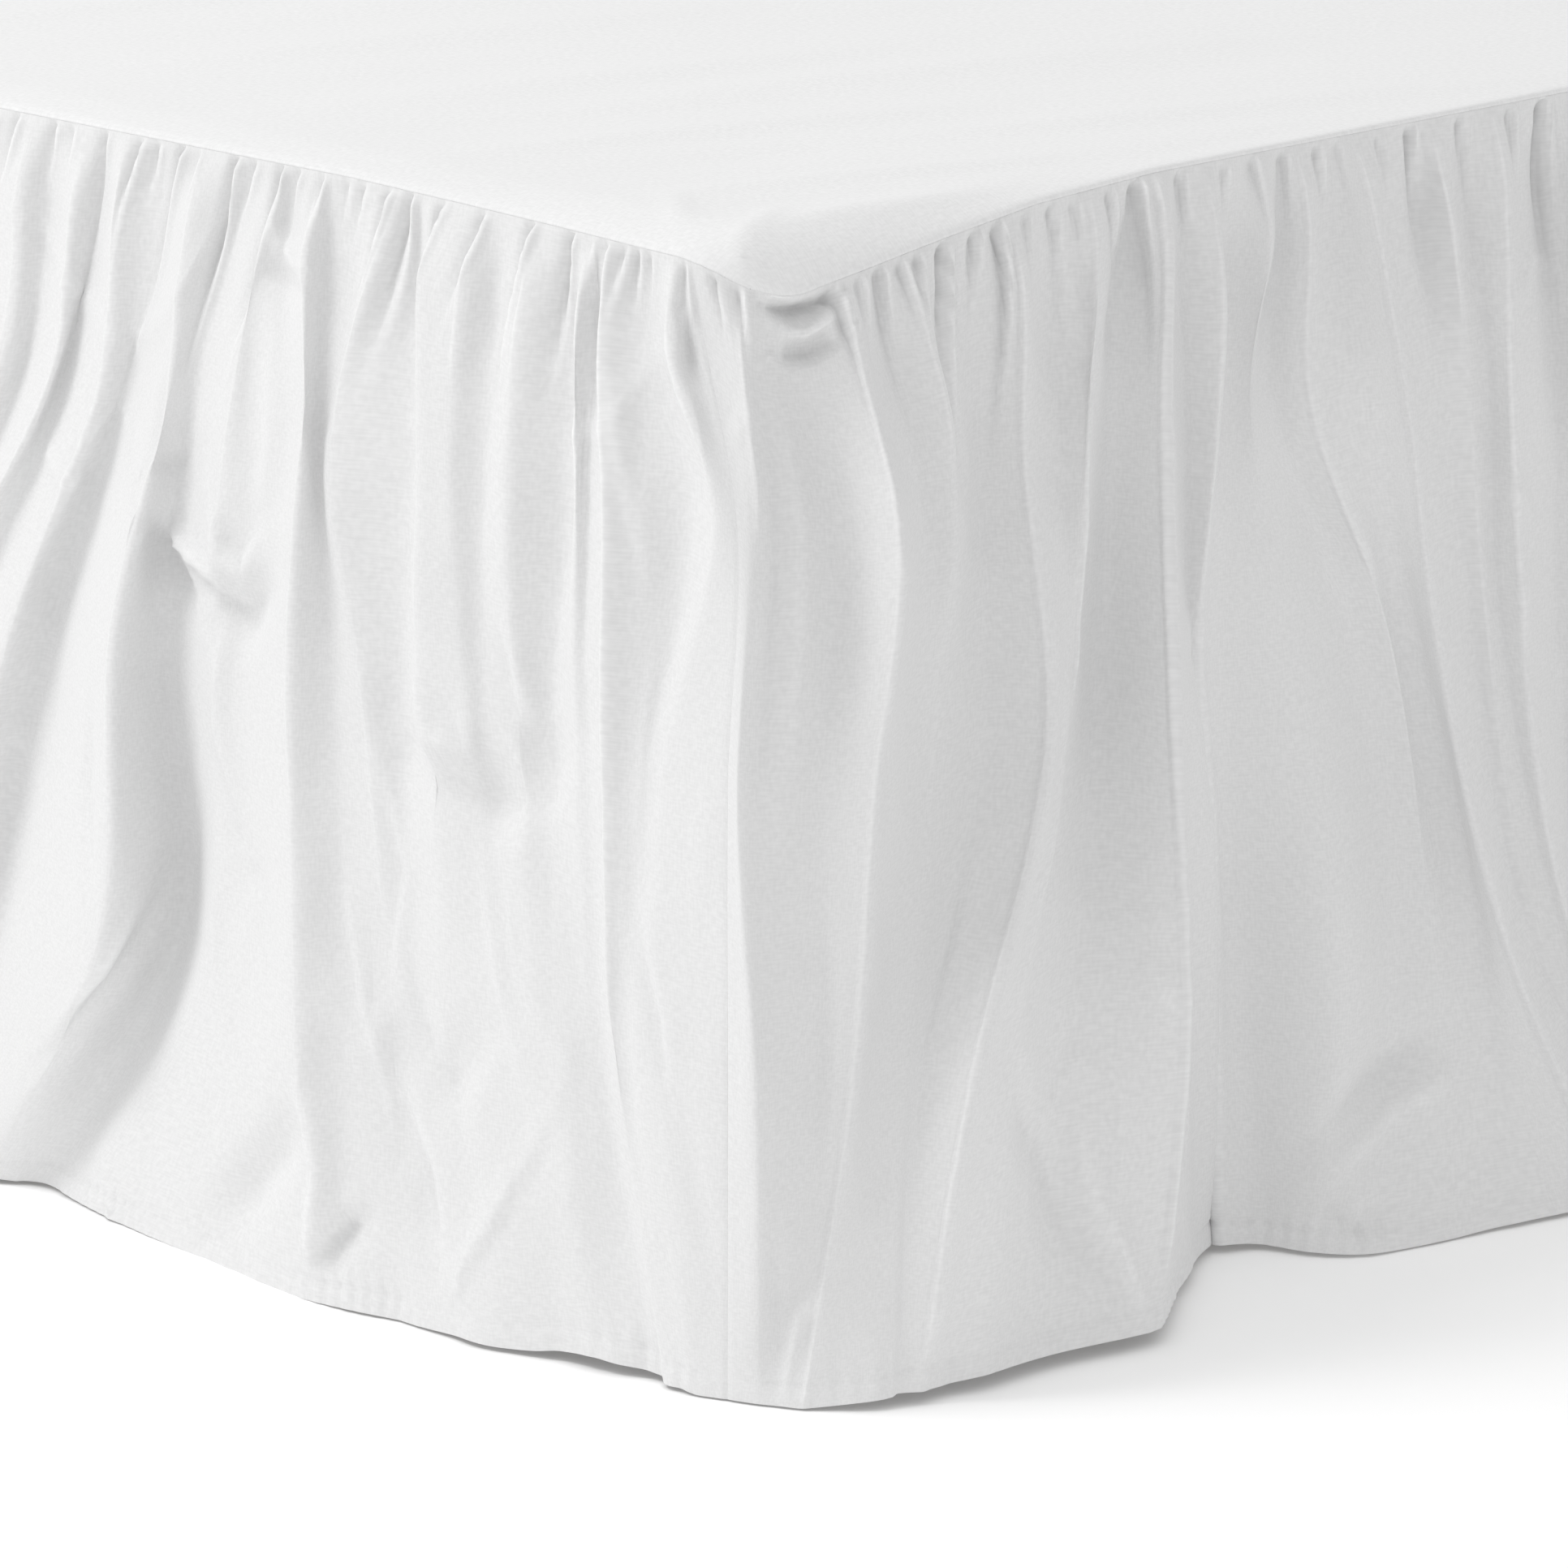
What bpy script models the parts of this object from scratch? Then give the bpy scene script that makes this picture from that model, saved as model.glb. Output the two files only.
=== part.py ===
"""Gathered bed skirt on a plain bed base: a flat panel, three gathered strips, a box base and its legs."""

import math
import random

import bpy

# Driving sizes, metres.
BED_WIDTH = 0.90
BED_LENGTH = 2.00
SEAM_HEIGHT = 0.516
CLOTH_THICKNESS = 0.002
CORNER_RADIUS = 0.045
PANEL_OVER_RUFFLE = 0.0009
SAG_REACH = 0.040
STRIP_JOINT = 0.06
HEAD_SHIFT = 0.057

# The bed base under the cloth.
BASE_INSET = 0.007
BASE_TOP = 0.5164
BASE_BOTTOM = 0.200
BASE_CORNER = 0.070
BASE_ROUNDING = 0.035
BASE_LOWER_ROUNDING = 0.004
LEG_INSET = 0.130
LEG_TOP_RADIUS = 0.030
LEG_FOOT_RADIUS = 0.022
LEG_GAP = 0.0005
LEG_SIDES = 24

# Share of the drop at which each fold is given: seam, gather, upper, middle, lower, hem.
GIVEN_AT = (0.0, 0.055, 0.20, 0.45, 0.72, 1.0)
# Share of the drop at which the strips are meshed.
MESHED_AT = (0.0, 0.055, 0.20, 0.40, 0.62, 0.82, 1.0)
COLUMNS_PER_FOLD = 3
GATHER_LEAN = 0.15
FOLD_SEED = 11

# How far the seam hangs under the bed's top near a foot corner, millimetres.
# along: distance from the corner, under zero on the foot side.
SEAM_SAG = (
    # along, sag
    (-450, 2), (-270, 2), (-190, 4), (-125, 6), (-75, 8), (-45, 9), (-30, 11), (-18, 14), (-8, 18),
    (0, 21), (8, 23), (18, 25), (30, 25), (45, 23), (75, 19), (125, 12), (190, 4), (270, 0), (2000, 0),
)

# Folds round the right foot corner, millimetres from the corner of the bed: out = past the long
# side, in = from the foot towards the head (under zero: past the foot).
# A name that starts with V is a valley, any other name is a ridge. crisp: 0 round, 1 sharp.
FOLDS = (
    # name, crisp, seam, upper out, in, middle out, in, lower out, in, hem out, in, lift
    ("Va", 0.0, -535, -555, -20, -610, -35, -660, -50, -655, -105, 4),
    ("Ra", 0.3, -495, -480, -35, -545, -55, -580, -85, -620, -100, 4),
    ("Vb", 0.0, -480, -470, -25, -525, -45, -560, -70, -580, -100, 4),
    ("Rb", 0.3, -455, -440, -35, -500, -55, -520, -80, -545, -95, 4),
    ("Vc", 0.0, -440, -440, -25, -485, -45, -515, -60, -510, -95, 4),
    ("Rc", 0.3, -425, -405, -35, -450, -55, -480, -75, -480, -90, 4),
    ("Vd", 0.0, -400, -395, -25, -440, -35, -460, -55, -465, -90, 4),
    ("Rd", 0.3, -370, -360, -35, -365, -70, -350, -95, -445, -85, 3),
    ("Ve", 0.0, -345, -350, -25, -360, -40, -345, -45, -420, -70, 2),
    ("Re", 0.3, -320, -315, -35, -315, -50, -300, -70, -380, -80, 1),
    ("Vf", 0.0, -310, -290, -30, -290, -50, -260, -80, -295, -95, 0),
    ("Rf", 0.5, -290, -260, -40, -245, -65, -205, -100, -195, -110, 0),
    ("Vg", 0.0, -280, -260, -30, -230, -50, -185, -85, -160, -110, 1),
    ("Rg", 0.2, -235, -245, -35, -210, -50, -160, -80, -130, -105, 1),
    ("Vh", 0.0, -220, -205, -20, -190, -40, -145, -80, -115, -105, 1),
    ("Rh", 0.4, -210, -185, -35, -160, -60, -115, -80, -85, -105, 2),
    ("Ri", 0.1, -180, -165, -35, -135, -55, -90, -80, -65, -105, 2),
    ("Vi", 0.0, -165, -150, -25, -125, -50, -75, -80, -45, -100, 3),
    ("Rj", 0.1, -140, -125, -35, -105, -50, -60, -80, -30, -95, 5),
    ("Vj", 0.0, -115, -100, -20, -90, -40, -45, -75, -10, -93, 6),
    ("Rk", 0.4, -105, -75, -40, -65, -50, -30, -75, 5, -90, 5),
    ("Vk", 0.0, -100, -70, -35, -55, -50, -20, -75, 20, -85, 4),
    ("Rl", 0.5, -90, -55, -40, -40, -55, -10, -80, 30, -85, 3),
    ("Vl", 0.0, -75, -40, -30, -30, -50, -5, -80, 35, -90, 2),
    ("Vm", 0.0, -65, -20, -20, -20, -45, 10, -80, 45, -90, 2),
    ("Rm", 0.4, -50, 5, -30, -5, -50, 25, -80, 55, -90, 1),
    ("V_join", 0.0, -35, 15, -25, 35, -50, 60, -75, 70, -85, 1),
    ("Rn", 0.4, -5, 25, -20, 45, -50, 80, -75, 85, -80, 1),
    ("V0", 0.0, 25, 30, 20, 60, -15, 80, -45, 95, -75, 1),
    ("R1", 0.5, 60, 60, 35, 80, 0, 95, -30, 105, -70, 1),
    ("V1", 0.0, 80, 30, 80, 65, 40, 95, -10, 125, -50, 4),
    ("R3", 0.2, 100, 35, 100, 60, 60, 100, 0, 130, -40, 5),
    ("V3", 0.0, 145, 20, 130, 60, 95, 105, 10, 130, -35, 6),
    ("R4", 0.4, 170, 35, 145, 85, 110, 130, 15, 135, -25, 6),
    ("V4", 0.0, 200, 30, 175, 80, 125, 130, 30, 135, -10, 6),
    ("R5", 0.4, 225, 40, 185, 70, 140, 125, 55, 140, 10, 7),
    ("V5", 0.0, 255, 20, 220, 45, 185, 105, 105, 140, 55, 7),
    ("R6", 0.6, 270, 40, 235, 85, 195, 130, 155, 145, 125, 7),
    ("V6", 0.0, 285, 25, 265, 50, 240, 50, 245, 60, 245, 4),
    ("R7", 0.2, 305, 40, 275, 50, 250, 50, 255, 65, 255, 4),
    ("V7", 0.0, 330, 20, 300, 40, 275, 55, 275, 75, 270, 3),
    ("R8", 0.0, 345, 25, 315, 50, 315, 90, 305, 100, 280, 2),
    ("V8", 0.0, 360, 25, 325, 40, 365, 80, 355, 120, 300, 1),
    ("R9", 0.3, 370, 40, 335, 55, 380, 90, 375, 130, 345, 1),
    ("V9", 0.0, 395, 35, 375, 55, 390, 95, 390, 135, 375, 2),
    ("R10", 0.5, 410, 40, 400, 65, 400, 110, 400, 145, 445, 2),
    ("V10", 0.0, 455, 30, 440, 50, 440, 90, 435, 145, 465, 2),
    ("R11", 0.2, 465, 35, 455, 55, 450, 90, 445, 145, 470, 2),
    ("V11", 0.0, 490, 35, 470, 55, 460, 95, 455, 145, 480, 2),
    ("R12", 0.4, 510, 45, 475, 65, 465, 100, 460, 150, 490, 2),
    ("V12", 0.0, 550, 35, 520, 55, 500, 80, 500, 150, 505, 2),
    ("R13", 0.3, 570, 45, 530, 65, 515, 95, 515, 150, 530, 2),
    ("V13", 0.0, 600, 30, 585, 50, 580, 75, 590, 150, 570, 2),
)
# First and last of these folds that the left foot corner repeats as a mirror image.
MIRRORED = ("Rj", "V5")
STRIP_SEAM = "V_join"
RIDGE_BULGE = 12
VALLEY_BULGE = 3

# Plain folds of the runs in between: reach out of the bed's side at each level, millimetres.
PLAIN_RIDGE = ((36, 46), (52, 68), (72, 94), (88, 116))
PLAIN_VALLEY = ((8, 22), (26, 42), (46, 66), (70, 92))
HEAD_EDGE = (6, 12, 22, 34)
PLAIN_PITCH = 0.043
PLAIN_UNEVEN = 0.28
PLAIN_DRIFT = 16

WHITE_COTTON = (0.86, 0.86, 0.86, 1.0)
BASE_GREY = (0.62, 0.60, 0.57, 1.0)
LEG_WOOD = (0.55, 0.40, 0.26, 1.0)


def between(low, high, share):
    return low + (high - low) * share


def table_value(table, key):
    """Value of a two-column table at a key, straight between its rows."""
    if key <= table[0][0]:
        return table[0][1]
    for (left, low), (right, high) in zip(table, table[1:]):
        if key <= right:
            return between(low, high, (key - left) / (right - left))
    return table[-1][1]


def round_corner(out, back):
    """Move a point of the square bed plan onto the plan with rounded foot corners."""
    across = (out + CORNER_RADIUS) / CORNER_RADIUS
    along = (CORNER_RADIUS - back) / CORNER_RADIUS
    if across <= 0.0 or along <= 0.0:
        return out, back
    new_across = across * math.sqrt(1.0 - along * along / 2.0)
    new_along = along * math.sqrt(1.0 - across * across / 2.0)
    return (new_across - 1.0) * CORNER_RADIUS, (1.0 - new_along) * CORNER_RADIUS


def edge_sag(along, inward):
    """Sag of the panel at a distance from the corner and from that edge."""
    if inward >= SAG_REACH:
        return 0.0
    share = 1.0 - inward / SAG_REACH
    return table_value(SEAM_SAG, along * 1000.0) / 1000.0 * share * share


def panel_height(out, back):
    """Height of the cloth's underside at a point of the square bed plan, from a foot corner."""
    side = edge_sag(back, -out)
    foot = edge_sag(out, back)
    return SEAM_HEIGHT - max(side, foot)


def seam_point(along):
    """Point of the seam line at a distance along the bed's edge from the foot corner."""
    out, back = (along, 0.0) if along < 0.0 else (0.0, along)
    height = panel_height(out, back)
    out, back = round_corner(out, back)
    return out, back, height


def outward(along):
    """Direction straight out of the bed at a place on the seam line."""
    turn = min(max((along + CORNER_RADIUS) / (2.0 * CORNER_RADIUS), 0.0), 1.0) * math.pi / 2.0
    return math.sin(turn), -math.cos(turn)


def fold_line(fold):
    """Points of one ridge or valley from the seam to the hem."""
    name, crisp, seam = fold[:3]
    bulge = VALLEY_BULGE if name.startswith("V") else RIDGE_BULGE
    plan = [value / 1000.0 for value in fold[3:11]]
    lift = fold[11] / 1000.0
    along = seam / 1000.0
    top = seam_point(along)
    normal = outward(along)
    points = [top]
    lean_out = between(top[0], plan[0], GATHER_LEAN)
    lean_in = between(top[1], plan[1], GATHER_LEAN)
    reach = (lean_out - top[0]) * normal[0] + (lean_in - top[1]) * normal[1]
    push = bulge / 1000.0 - reach
    gather = (lean_out + normal[0] * push, lean_in + normal[1] * push)
    flat = [gather] + list(zip(plan[0::2], plan[1::2]))
    for share, (out, back) in zip(GIVEN_AT[1:], flat):
        points.append((out, back, between(top[2], lift, share)))
    return crisp, points


def plain_fold(first, last, share, is_ridge, settle, chance):
    """One plain fold between two given ones on the same straight run of the bed."""
    on_foot = first[2] < 0.0
    reaches = PLAIN_RIDGE if is_ridge else PLAIN_VALLEY
    fold = ["plain" if is_ridge else "V_plain", 0.3 if is_ridge else 0.0]
    fold.append(between(first[2], last[2], share))
    drift = chance.uniform(-PLAIN_DRIFT, PLAIN_DRIFT)
    for level, (low, high) in enumerate(reaches):
        out_column = 3 + 2 * level
        along_column = out_column if on_foot else out_column + 1
        reach_column = out_column + 1 if on_foot else out_column
        along = between(first[along_column], last[along_column], share) + drift * GIVEN_AT[level + 2]
        reach = chance.uniform(low, high)
        given = abs(first[reach_column] if settle[0] < settle[1] else last[reach_column])
        reach = between(given, reach, min(1.0, min(settle) / 3.0))
        fold += [along, -reach] if on_foot else [reach, along]
    fold.append(chance.uniform(1, 4))
    return tuple(fold)


def plain_run(first, last, start_with_ridge, seed):
    """Plain ridges and valleys that fill the seam between two given folds."""
    chance = random.Random(seed)
    count = round(abs(last[2] - first[2]) / 1000.0 / PLAIN_PITCH) - 1
    count += 1 - count % 2
    folds = []
    for number in range(count):
        is_ridge = (number % 2 == 0) == start_with_ridge
        settle = (number + 1, count - number)
        place = number + 1 + chance.uniform(-PLAIN_UNEVEN, PLAIN_UNEVEN)
        share = place / (count + 1)
        folds.append(plain_fold(first, last, share, is_ridge, settle, chance))
    return folds


def head_fold():
    """The free end of a long side's strip at the head of the bed."""
    fold = ["V_end", 0.0, BED_LENGTH * 1000.0]
    for reach in HEAD_EDGE:
        fold += [reach, BED_LENGTH * 1000.0 - 1.0]
    fold.append(3)
    return tuple(fold)


def to_bed(points, mirrored):
    """Corner measures to the bed's own axes, the left corner as a mirror image."""
    side = -1.0 if mirrored else 1.0
    foot = -BED_LENGTH / 2.0 + HEAD_SHIFT
    return [(side * (BED_WIDTH / 2.0 + out), foot + back, height) for out, back, height in points]


def round_the_bed(along):
    """Point of the seam line at a distance from the right foot corner, all the way round the bed."""
    if along < -BED_WIDTH / 2.0:
        return to_bed([seam_point(-BED_WIDTH - along)], True)[0]
    return to_bed([seam_point(along)], False)[0]


def from_left_corner(fold):
    """Rewrite a fold of the mirrored left corner in the measures of the right corner."""
    width = BED_WIDTH * 1000.0
    row = list(fold)
    row[2] = -width - fold[2]
    for column in (3, 5, 7, 9):
        row[column] = -width - fold[column]
    return tuple(row)


def all_fold_lines():
    """Every fold round the bed, from the left head end to the right one."""
    names = [fold[0] for fold in FOLDS]
    start = names.index(MIRRORED[0])
    stop = names.index(MIRRORED[1])
    corner = list(FOLDS[start:stop + 1])
    end = head_fold()
    left_side = plain_run(corner[-1], end, True, FOLD_SEED)
    lines = []
    for fold in [end] + left_side[::-1] + corner[::-1]:
        crisp, points = fold_line(fold)
        along = -BED_WIDTH - fold[2] / 1000.0
        lines.append((fold[0], crisp, along, to_bed(points, True)))
    foot_run = plain_run(from_left_corner(corner[0]), FOLDS[0], False, FOLD_SEED + 1)
    right_side = plain_run(FOLDS[-1], end, True, FOLD_SEED + 2)
    for fold in foot_run + list(FOLDS) + right_side + [end]:
        crisp, points = fold_line(fold)
        lines.append((fold[0], crisp, fold[2] / 1000.0, to_bed(points, False)))
    return lines


def hermite(start, start_slope, end, end_slope, share):
    square = share * share
    cube = square * share
    return tuple(
        (2 * cube - 3 * square + 1) * a + (cube - 2 * square + share) * b
        + (3 * square - 2 * cube) * c + (cube - square) * d
        for a, b, c, d in zip(start, start_slope, end, end_slope)
    )


def slope_between(before, after, factor):
    return tuple((b - a) * factor for a, b in zip(before, after))


def across_folds(lines, place):
    """Points of the cloth at every given level, at a place counted in folds."""
    index = min(int(place), len(lines) - 2)
    share = place - index
    along = between(lines[index][2], lines[index + 1][2], share)
    points = [round_the_bed(along)]
    for level in range(1, len(GIVEN_AT)):
        slopes = []
        for row in (index, index + 1):
            before = lines[max(row - 1, 0)][3][level]
            after = lines[min(row + 1, len(lines) - 1)][3][level]
            slopes.append(slope_between(before, after, 0.5 * (1.0 - lines[row][1])))
        start = lines[index][3][level]
        end = lines[index + 1][3][level]
        points.append(hermite(start, slopes[0], end, slopes[1], share))
    return points


def level_slopes(points):
    """Slope of a fold down the drop at each given level."""
    steps = []
    for level in range(len(GIVEN_AT) - 1):
        width = GIVEN_AT[level + 1] - GIVEN_AT[level]
        steps.append(slope_between(points[level], points[level + 1], 1.0 / width))
    slopes = [steps[0]]
    for level in range(1, len(steps)):
        before = GIVEN_AT[level] - GIVEN_AT[level - 1]
        after = GIVEN_AT[level + 1] - GIVEN_AT[level]
        weight = after / (before + after)
        slopes.append(tuple(a * weight + b * (1.0 - weight) for a, b in zip(steps[level - 1], steps[level])))
    slopes.append(steps[-1])
    return slopes


def down_drop(points, slopes, depth):
    """Point of the cloth at a share of the drop."""
    level = 0
    while level < len(GIVEN_AT) - 2 and depth > GIVEN_AT[level + 1]:
        level += 1
    width = GIVEN_AT[level + 1] - GIVEN_AT[level]
    share = (depth - GIVEN_AT[level]) / width
    start_slope = tuple(value * width for value in slopes[level])
    end_slope = tuple(value * width for value in slopes[level + 1])
    return hermite(points[level], start_slope, points[level + 1], end_slope, share)


def places(first, last):
    """Places of a strip's columns, counted in folds."""
    inner = range(math.ceil(first * COLUMNS_PER_FOLD), math.floor(last * COLUMNS_PER_FOLD) + 1)
    found = [first]
    for step in inner:
        place = step / COLUMNS_PER_FOLD
        if first + 0.1 < place < last - 0.1:
            found.append(place)
    found.append(last)
    return found


def unit(vector):
    length = math.sqrt(sum(value * value for value in vector))
    return tuple(value / length for value in vector)


def cross(a, b):
    return (a[1] * b[2] - a[2] * b[1], a[2] * b[0] - a[0] * b[2], a[0] * b[1] - a[1] * b[0])


def sheet_normal(grid, column, row):
    """Outward direction of a strip at one grid point."""
    left = grid[max(column - 1, 0)][row]
    right = grid[min(column + 1, len(grid) - 1)][row]
    above = grid[column][max(row - 1, 0)]
    below = grid[column][min(row + 1, len(grid[0]) - 1)]
    if row == 0:
        above = (below[0], below[1], above[2])
    return unit(cross(slope_between(above, below, 1.0), slope_between(left, right, 1.0)))


def distance(a, b):
    return math.sqrt(sum((x - y) ** 2 for x, y in zip(a, b)))


def closed_sheet(grid, normals):
    """Vertices and triangles of a thin closed sheet about a grid of points."""
    columns = len(grid)
    rows = len(grid[0])
    half = CLOTH_THICKNESS / 2.0
    vertices = []
    for side in (half, -half):
        for column in range(columns):
            for row in range(rows):
                point = grid[column][row]
                normal = normals[column][row]
                vertices.append(tuple(p + side * n for p, n in zip(point, normal)))
    layer = columns * rows

    def number(column, row):
        return column * rows + row

    triangles = []
    for column in range(columns - 1):
        for row in range(rows - 1):
            a, b = number(column, row), number(column + 1, row)
            c, d = number(column + 1, row + 1), number(column, row + 1)
            if distance(vertices[a], vertices[c]) <= distance(vertices[b], vertices[d]):
                pair = ((a, d, c), (a, c, b))
            else:
                pair = ((a, d, b), (d, c, b))
            for x, y, z in pair:
                triangles.append((x, y, z))
                triangles.append((z + layer, y + layer, x + layer))
    rim = [number(column, 0) for column in range(columns)]
    rim += [number(columns - 1, row) for row in range(1, rows)]
    rim += [number(column, rows - 1) for column in range(columns - 2, -1, -1)]
    rim += [number(0, row) for row in range(rows - 2, 0, -1)]
    for a, b in zip(rim, rim[1:] + rim[:1]):
        triangles.append((a, b, b + layer))
        triangles.append((a, b + layer, a + layer))
    return vertices, triangles


def add_object(name, vertices, faces, material):
    mesh = bpy.data.meshes.new(name)
    mesh.from_pydata(vertices, [], faces)
    mesh.update()
    mesh.materials.append(material)
    made = bpy.data.objects.new(name, mesh)
    bpy.context.scene.collection.objects.link(made)
    return made


def principled(name, colour, roughness):
    material = bpy.data.materials.new(name)
    material.use_nodes = True
    shader = material.node_tree.nodes["Principled BSDF"]
    shader.inputs["Base Color"].default_value = colour
    shader.inputs["Roughness"].default_value = roughness
    return material


def ruffle(name, lines, first, last):
    """One gathered strip from seam to hem, between two places counted in folds."""
    grid = []
    for place in places(first, last):
        points = across_folds(lines, place)
        slopes = level_slopes(points)
        grid.append([down_drop(points, slopes, depth) for depth in MESHED_AT])
    normals = [
        [sheet_normal(grid, column, row) for row in range(len(MESHED_AT))]
        for column in range(len(grid))
    ]
    vertices, triangles = closed_sheet(grid, normals)
    material = principled(name, WHITE_COTTON, 0.9)
    return add_object(name, vertices, triangles, material)


def panel_steps(length, both_ends):
    """Grid distances from an edge that is closely stepped near the foot corners."""
    near = [0.0, 0.008, 0.018, 0.030, 0.045, 0.075, 0.125, 0.19, 0.27]
    if both_ends:
        half = [value for value in near if value < length / 2.0]
        return half + [length / 2.0] + [length - value for value in reversed(half)]
    return near + [0.45, 0.75, 1.10, 1.50, length]


def platform_panel():
    """The flat sheet that lies on the base and carries the gathered strips."""
    grid = []
    for across in panel_steps(BED_WIDTH, True):
        mirrored = across < BED_WIDTH / 2.0
        out = -across if mirrored else across - BED_WIDTH
        column = []
        for back in panel_steps(BED_LENGTH, False):
            height = panel_height(out, back) + PANEL_OVER_RUFFLE + CLOTH_THICKNESS / 2.0
            plan_out, plan_back = round_corner(out, back)
            column += to_bed([(plan_out, plan_back, height)], mirrored)
        grid.append(column)
    upright = [[(0.0, 0.0, -1.0) for _point in column] for column in grid]
    vertices, triangles = closed_sheet(grid, upright)
    material = principled("platform_panel", WHITE_COTTON, 0.9)
    return add_object("platform_panel", vertices, triangles, material)


def base_ring(inset, height):
    """Rounded-rectangle ring of the bed base."""
    half_width = BED_WIDTH / 2.0 - BASE_INSET - inset
    half_length = BED_LENGTH / 2.0 - BASE_INSET - inset
    radius = BASE_CORNER - inset
    ring = []
    for quarter in range(4):
        middle_x = (half_width - radius) * (1 if quarter in (0, 3) else -1)
        middle_y = (half_length - radius) * (1 if quarter in (0, 1) else -1)
        for step in range(9):
            turn = math.pi / 2.0 * (quarter + step / 8.0)
            x = middle_x + radius * math.cos(turn)
            y = middle_y + radius * math.sin(turn) + HEAD_SHIFT
            ring.append((x, y, height))
    return ring


def bed_base():
    """Plain box base with rounded corners and a rounded top edge."""
    profile = [(BASE_LOWER_ROUNDING, BASE_BOTTOM), (0.0, BASE_BOTTOM + BASE_LOWER_ROUNDING)]
    for step in range(6):
        turn = math.pi / 2.0 * step / 5.0
        inset = BASE_ROUNDING * (1.0 - math.cos(turn))
        height = BASE_TOP - BASE_ROUNDING * (1.0 - math.sin(turn))
        profile.append((inset, height))
    rings = [base_ring(inset, height) for inset, height in profile]
    size = len(rings[0])
    vertices = [point for ring in rings for point in ring]
    faces = [tuple(reversed(range(size)))]
    for level in range(len(rings) - 1):
        for step in range(size):
            low = level * size
            after = (step + 1) % size
            faces.append((low + step, low + after, low + size + after, low + size + step))
    faces.append(tuple(range((len(rings) - 1) * size, len(rings) * size)))
    return add_object("bed_base", vertices, faces, principled("bed_base", BASE_GREY, 0.7))


def leg(name, side, end):
    """Plain turned leg under one corner of the base."""
    x = side * (BED_WIDTH / 2.0 - LEG_INSET)
    y = end * (BED_LENGTH / 2.0 - LEG_INSET) + HEAD_SHIFT
    vertices = []
    for height, radius in ((0.0, LEG_FOOT_RADIUS), (BASE_BOTTOM - LEG_GAP, LEG_TOP_RADIUS)):
        for step in range(LEG_SIDES):
            turn = 2.0 * math.pi * step / LEG_SIDES
            vertices.append((x + radius * math.cos(turn), y + radius * math.sin(turn), height))
    faces = [tuple(reversed(range(LEG_SIDES))), tuple(range(LEG_SIDES, 2 * LEG_SIDES))]
    for step in range(LEG_SIDES):
        after = (step + 1) % LEG_SIDES
        faces.append((step, after, after + LEG_SIDES, step + LEG_SIDES))
    return add_object(name, vertices, faces, principled(name, LEG_WOOD, 0.5))


for old in list(bpy.data.objects):
    bpy.data.objects.remove(old)

FOLD_LINES = all_fold_lines()
STRIP_SEAMS = [index for index, line in enumerate(FOLD_LINES) if line[0] == STRIP_SEAM]
platform_panel()
ruffle("ruffle_left", FOLD_LINES, 0.0, STRIP_SEAMS[0] - STRIP_JOINT)
ruffle("ruffle_foot", FOLD_LINES, STRIP_SEAMS[0] + STRIP_JOINT, STRIP_SEAMS[1] - STRIP_JOINT)
ruffle("ruffle_right", FOLD_LINES, STRIP_SEAMS[1] + STRIP_JOINT, len(FOLD_LINES) - 1.0)
bed_base()
leg("leg_foot_left", -1, -1)
leg("leg_foot_right", 1, -1)
leg("leg_head_left", -1, 1)
leg("leg_head_right", 1, 1)
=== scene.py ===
import math
import random

import bpy
import numpy as np
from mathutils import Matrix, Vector, noise


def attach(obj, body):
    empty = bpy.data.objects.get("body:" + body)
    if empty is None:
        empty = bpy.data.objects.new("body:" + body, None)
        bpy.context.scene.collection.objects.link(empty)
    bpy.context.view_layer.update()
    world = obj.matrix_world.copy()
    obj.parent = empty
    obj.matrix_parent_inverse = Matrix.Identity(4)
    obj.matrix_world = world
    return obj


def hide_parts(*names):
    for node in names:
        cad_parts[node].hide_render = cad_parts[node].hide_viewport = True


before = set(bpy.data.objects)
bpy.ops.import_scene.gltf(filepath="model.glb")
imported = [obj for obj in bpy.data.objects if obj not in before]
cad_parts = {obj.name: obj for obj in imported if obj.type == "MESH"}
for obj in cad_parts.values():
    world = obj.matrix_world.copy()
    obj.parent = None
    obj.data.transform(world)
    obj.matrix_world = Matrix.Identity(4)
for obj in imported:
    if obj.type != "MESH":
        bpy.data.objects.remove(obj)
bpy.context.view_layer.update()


# ---- Bed base -------------------------------------------------------------------------------
# A plain box base that the skirt is fitted over and hides. It is a timber frame upholstered in
# a stone-coloured polyester cover, woven in a coarse plain weave and stapled underneath.

def linear(hex_colour):
    """sRGB hex to the linear colour that a shader socket takes."""
    values = [int(hex_colour[place:place + 2], 16) / 255.0 for place in (1, 3, 5)]
    return [v / 12.92 if v <= 0.04045 else ((v + 0.055) / 1.055) ** 2.4 for v in values] + [1.0]


def node(tree, kind, settings, *links):
    """Add a shader node, its settings by socket or property name, its links as (input, node, output)."""
    made = tree.nodes.new(kind)
    for name, value in settings.items():
        if isinstance(name, int) or name in made.inputs:
            made.inputs[name].default_value = value
        else:
            setattr(made, name, value)
    for socket, source, output in links:
        tree.links.new(source.outputs[output], made.inputs[socket])
    return made


def new_material(name, roughness, specular):
    """A material with one Principled shader; returns the material, its tree and the shader."""
    material = bpy.data.materials.new(name)
    material.use_nodes = True
    tree = material.node_tree
    shader = tree.nodes["Principled BSDF"]
    shader.inputs["Roughness"].default_value = roughness
    shader.inputs["Specular IOR Level"].default_value = specular
    return material, tree, shader


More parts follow.
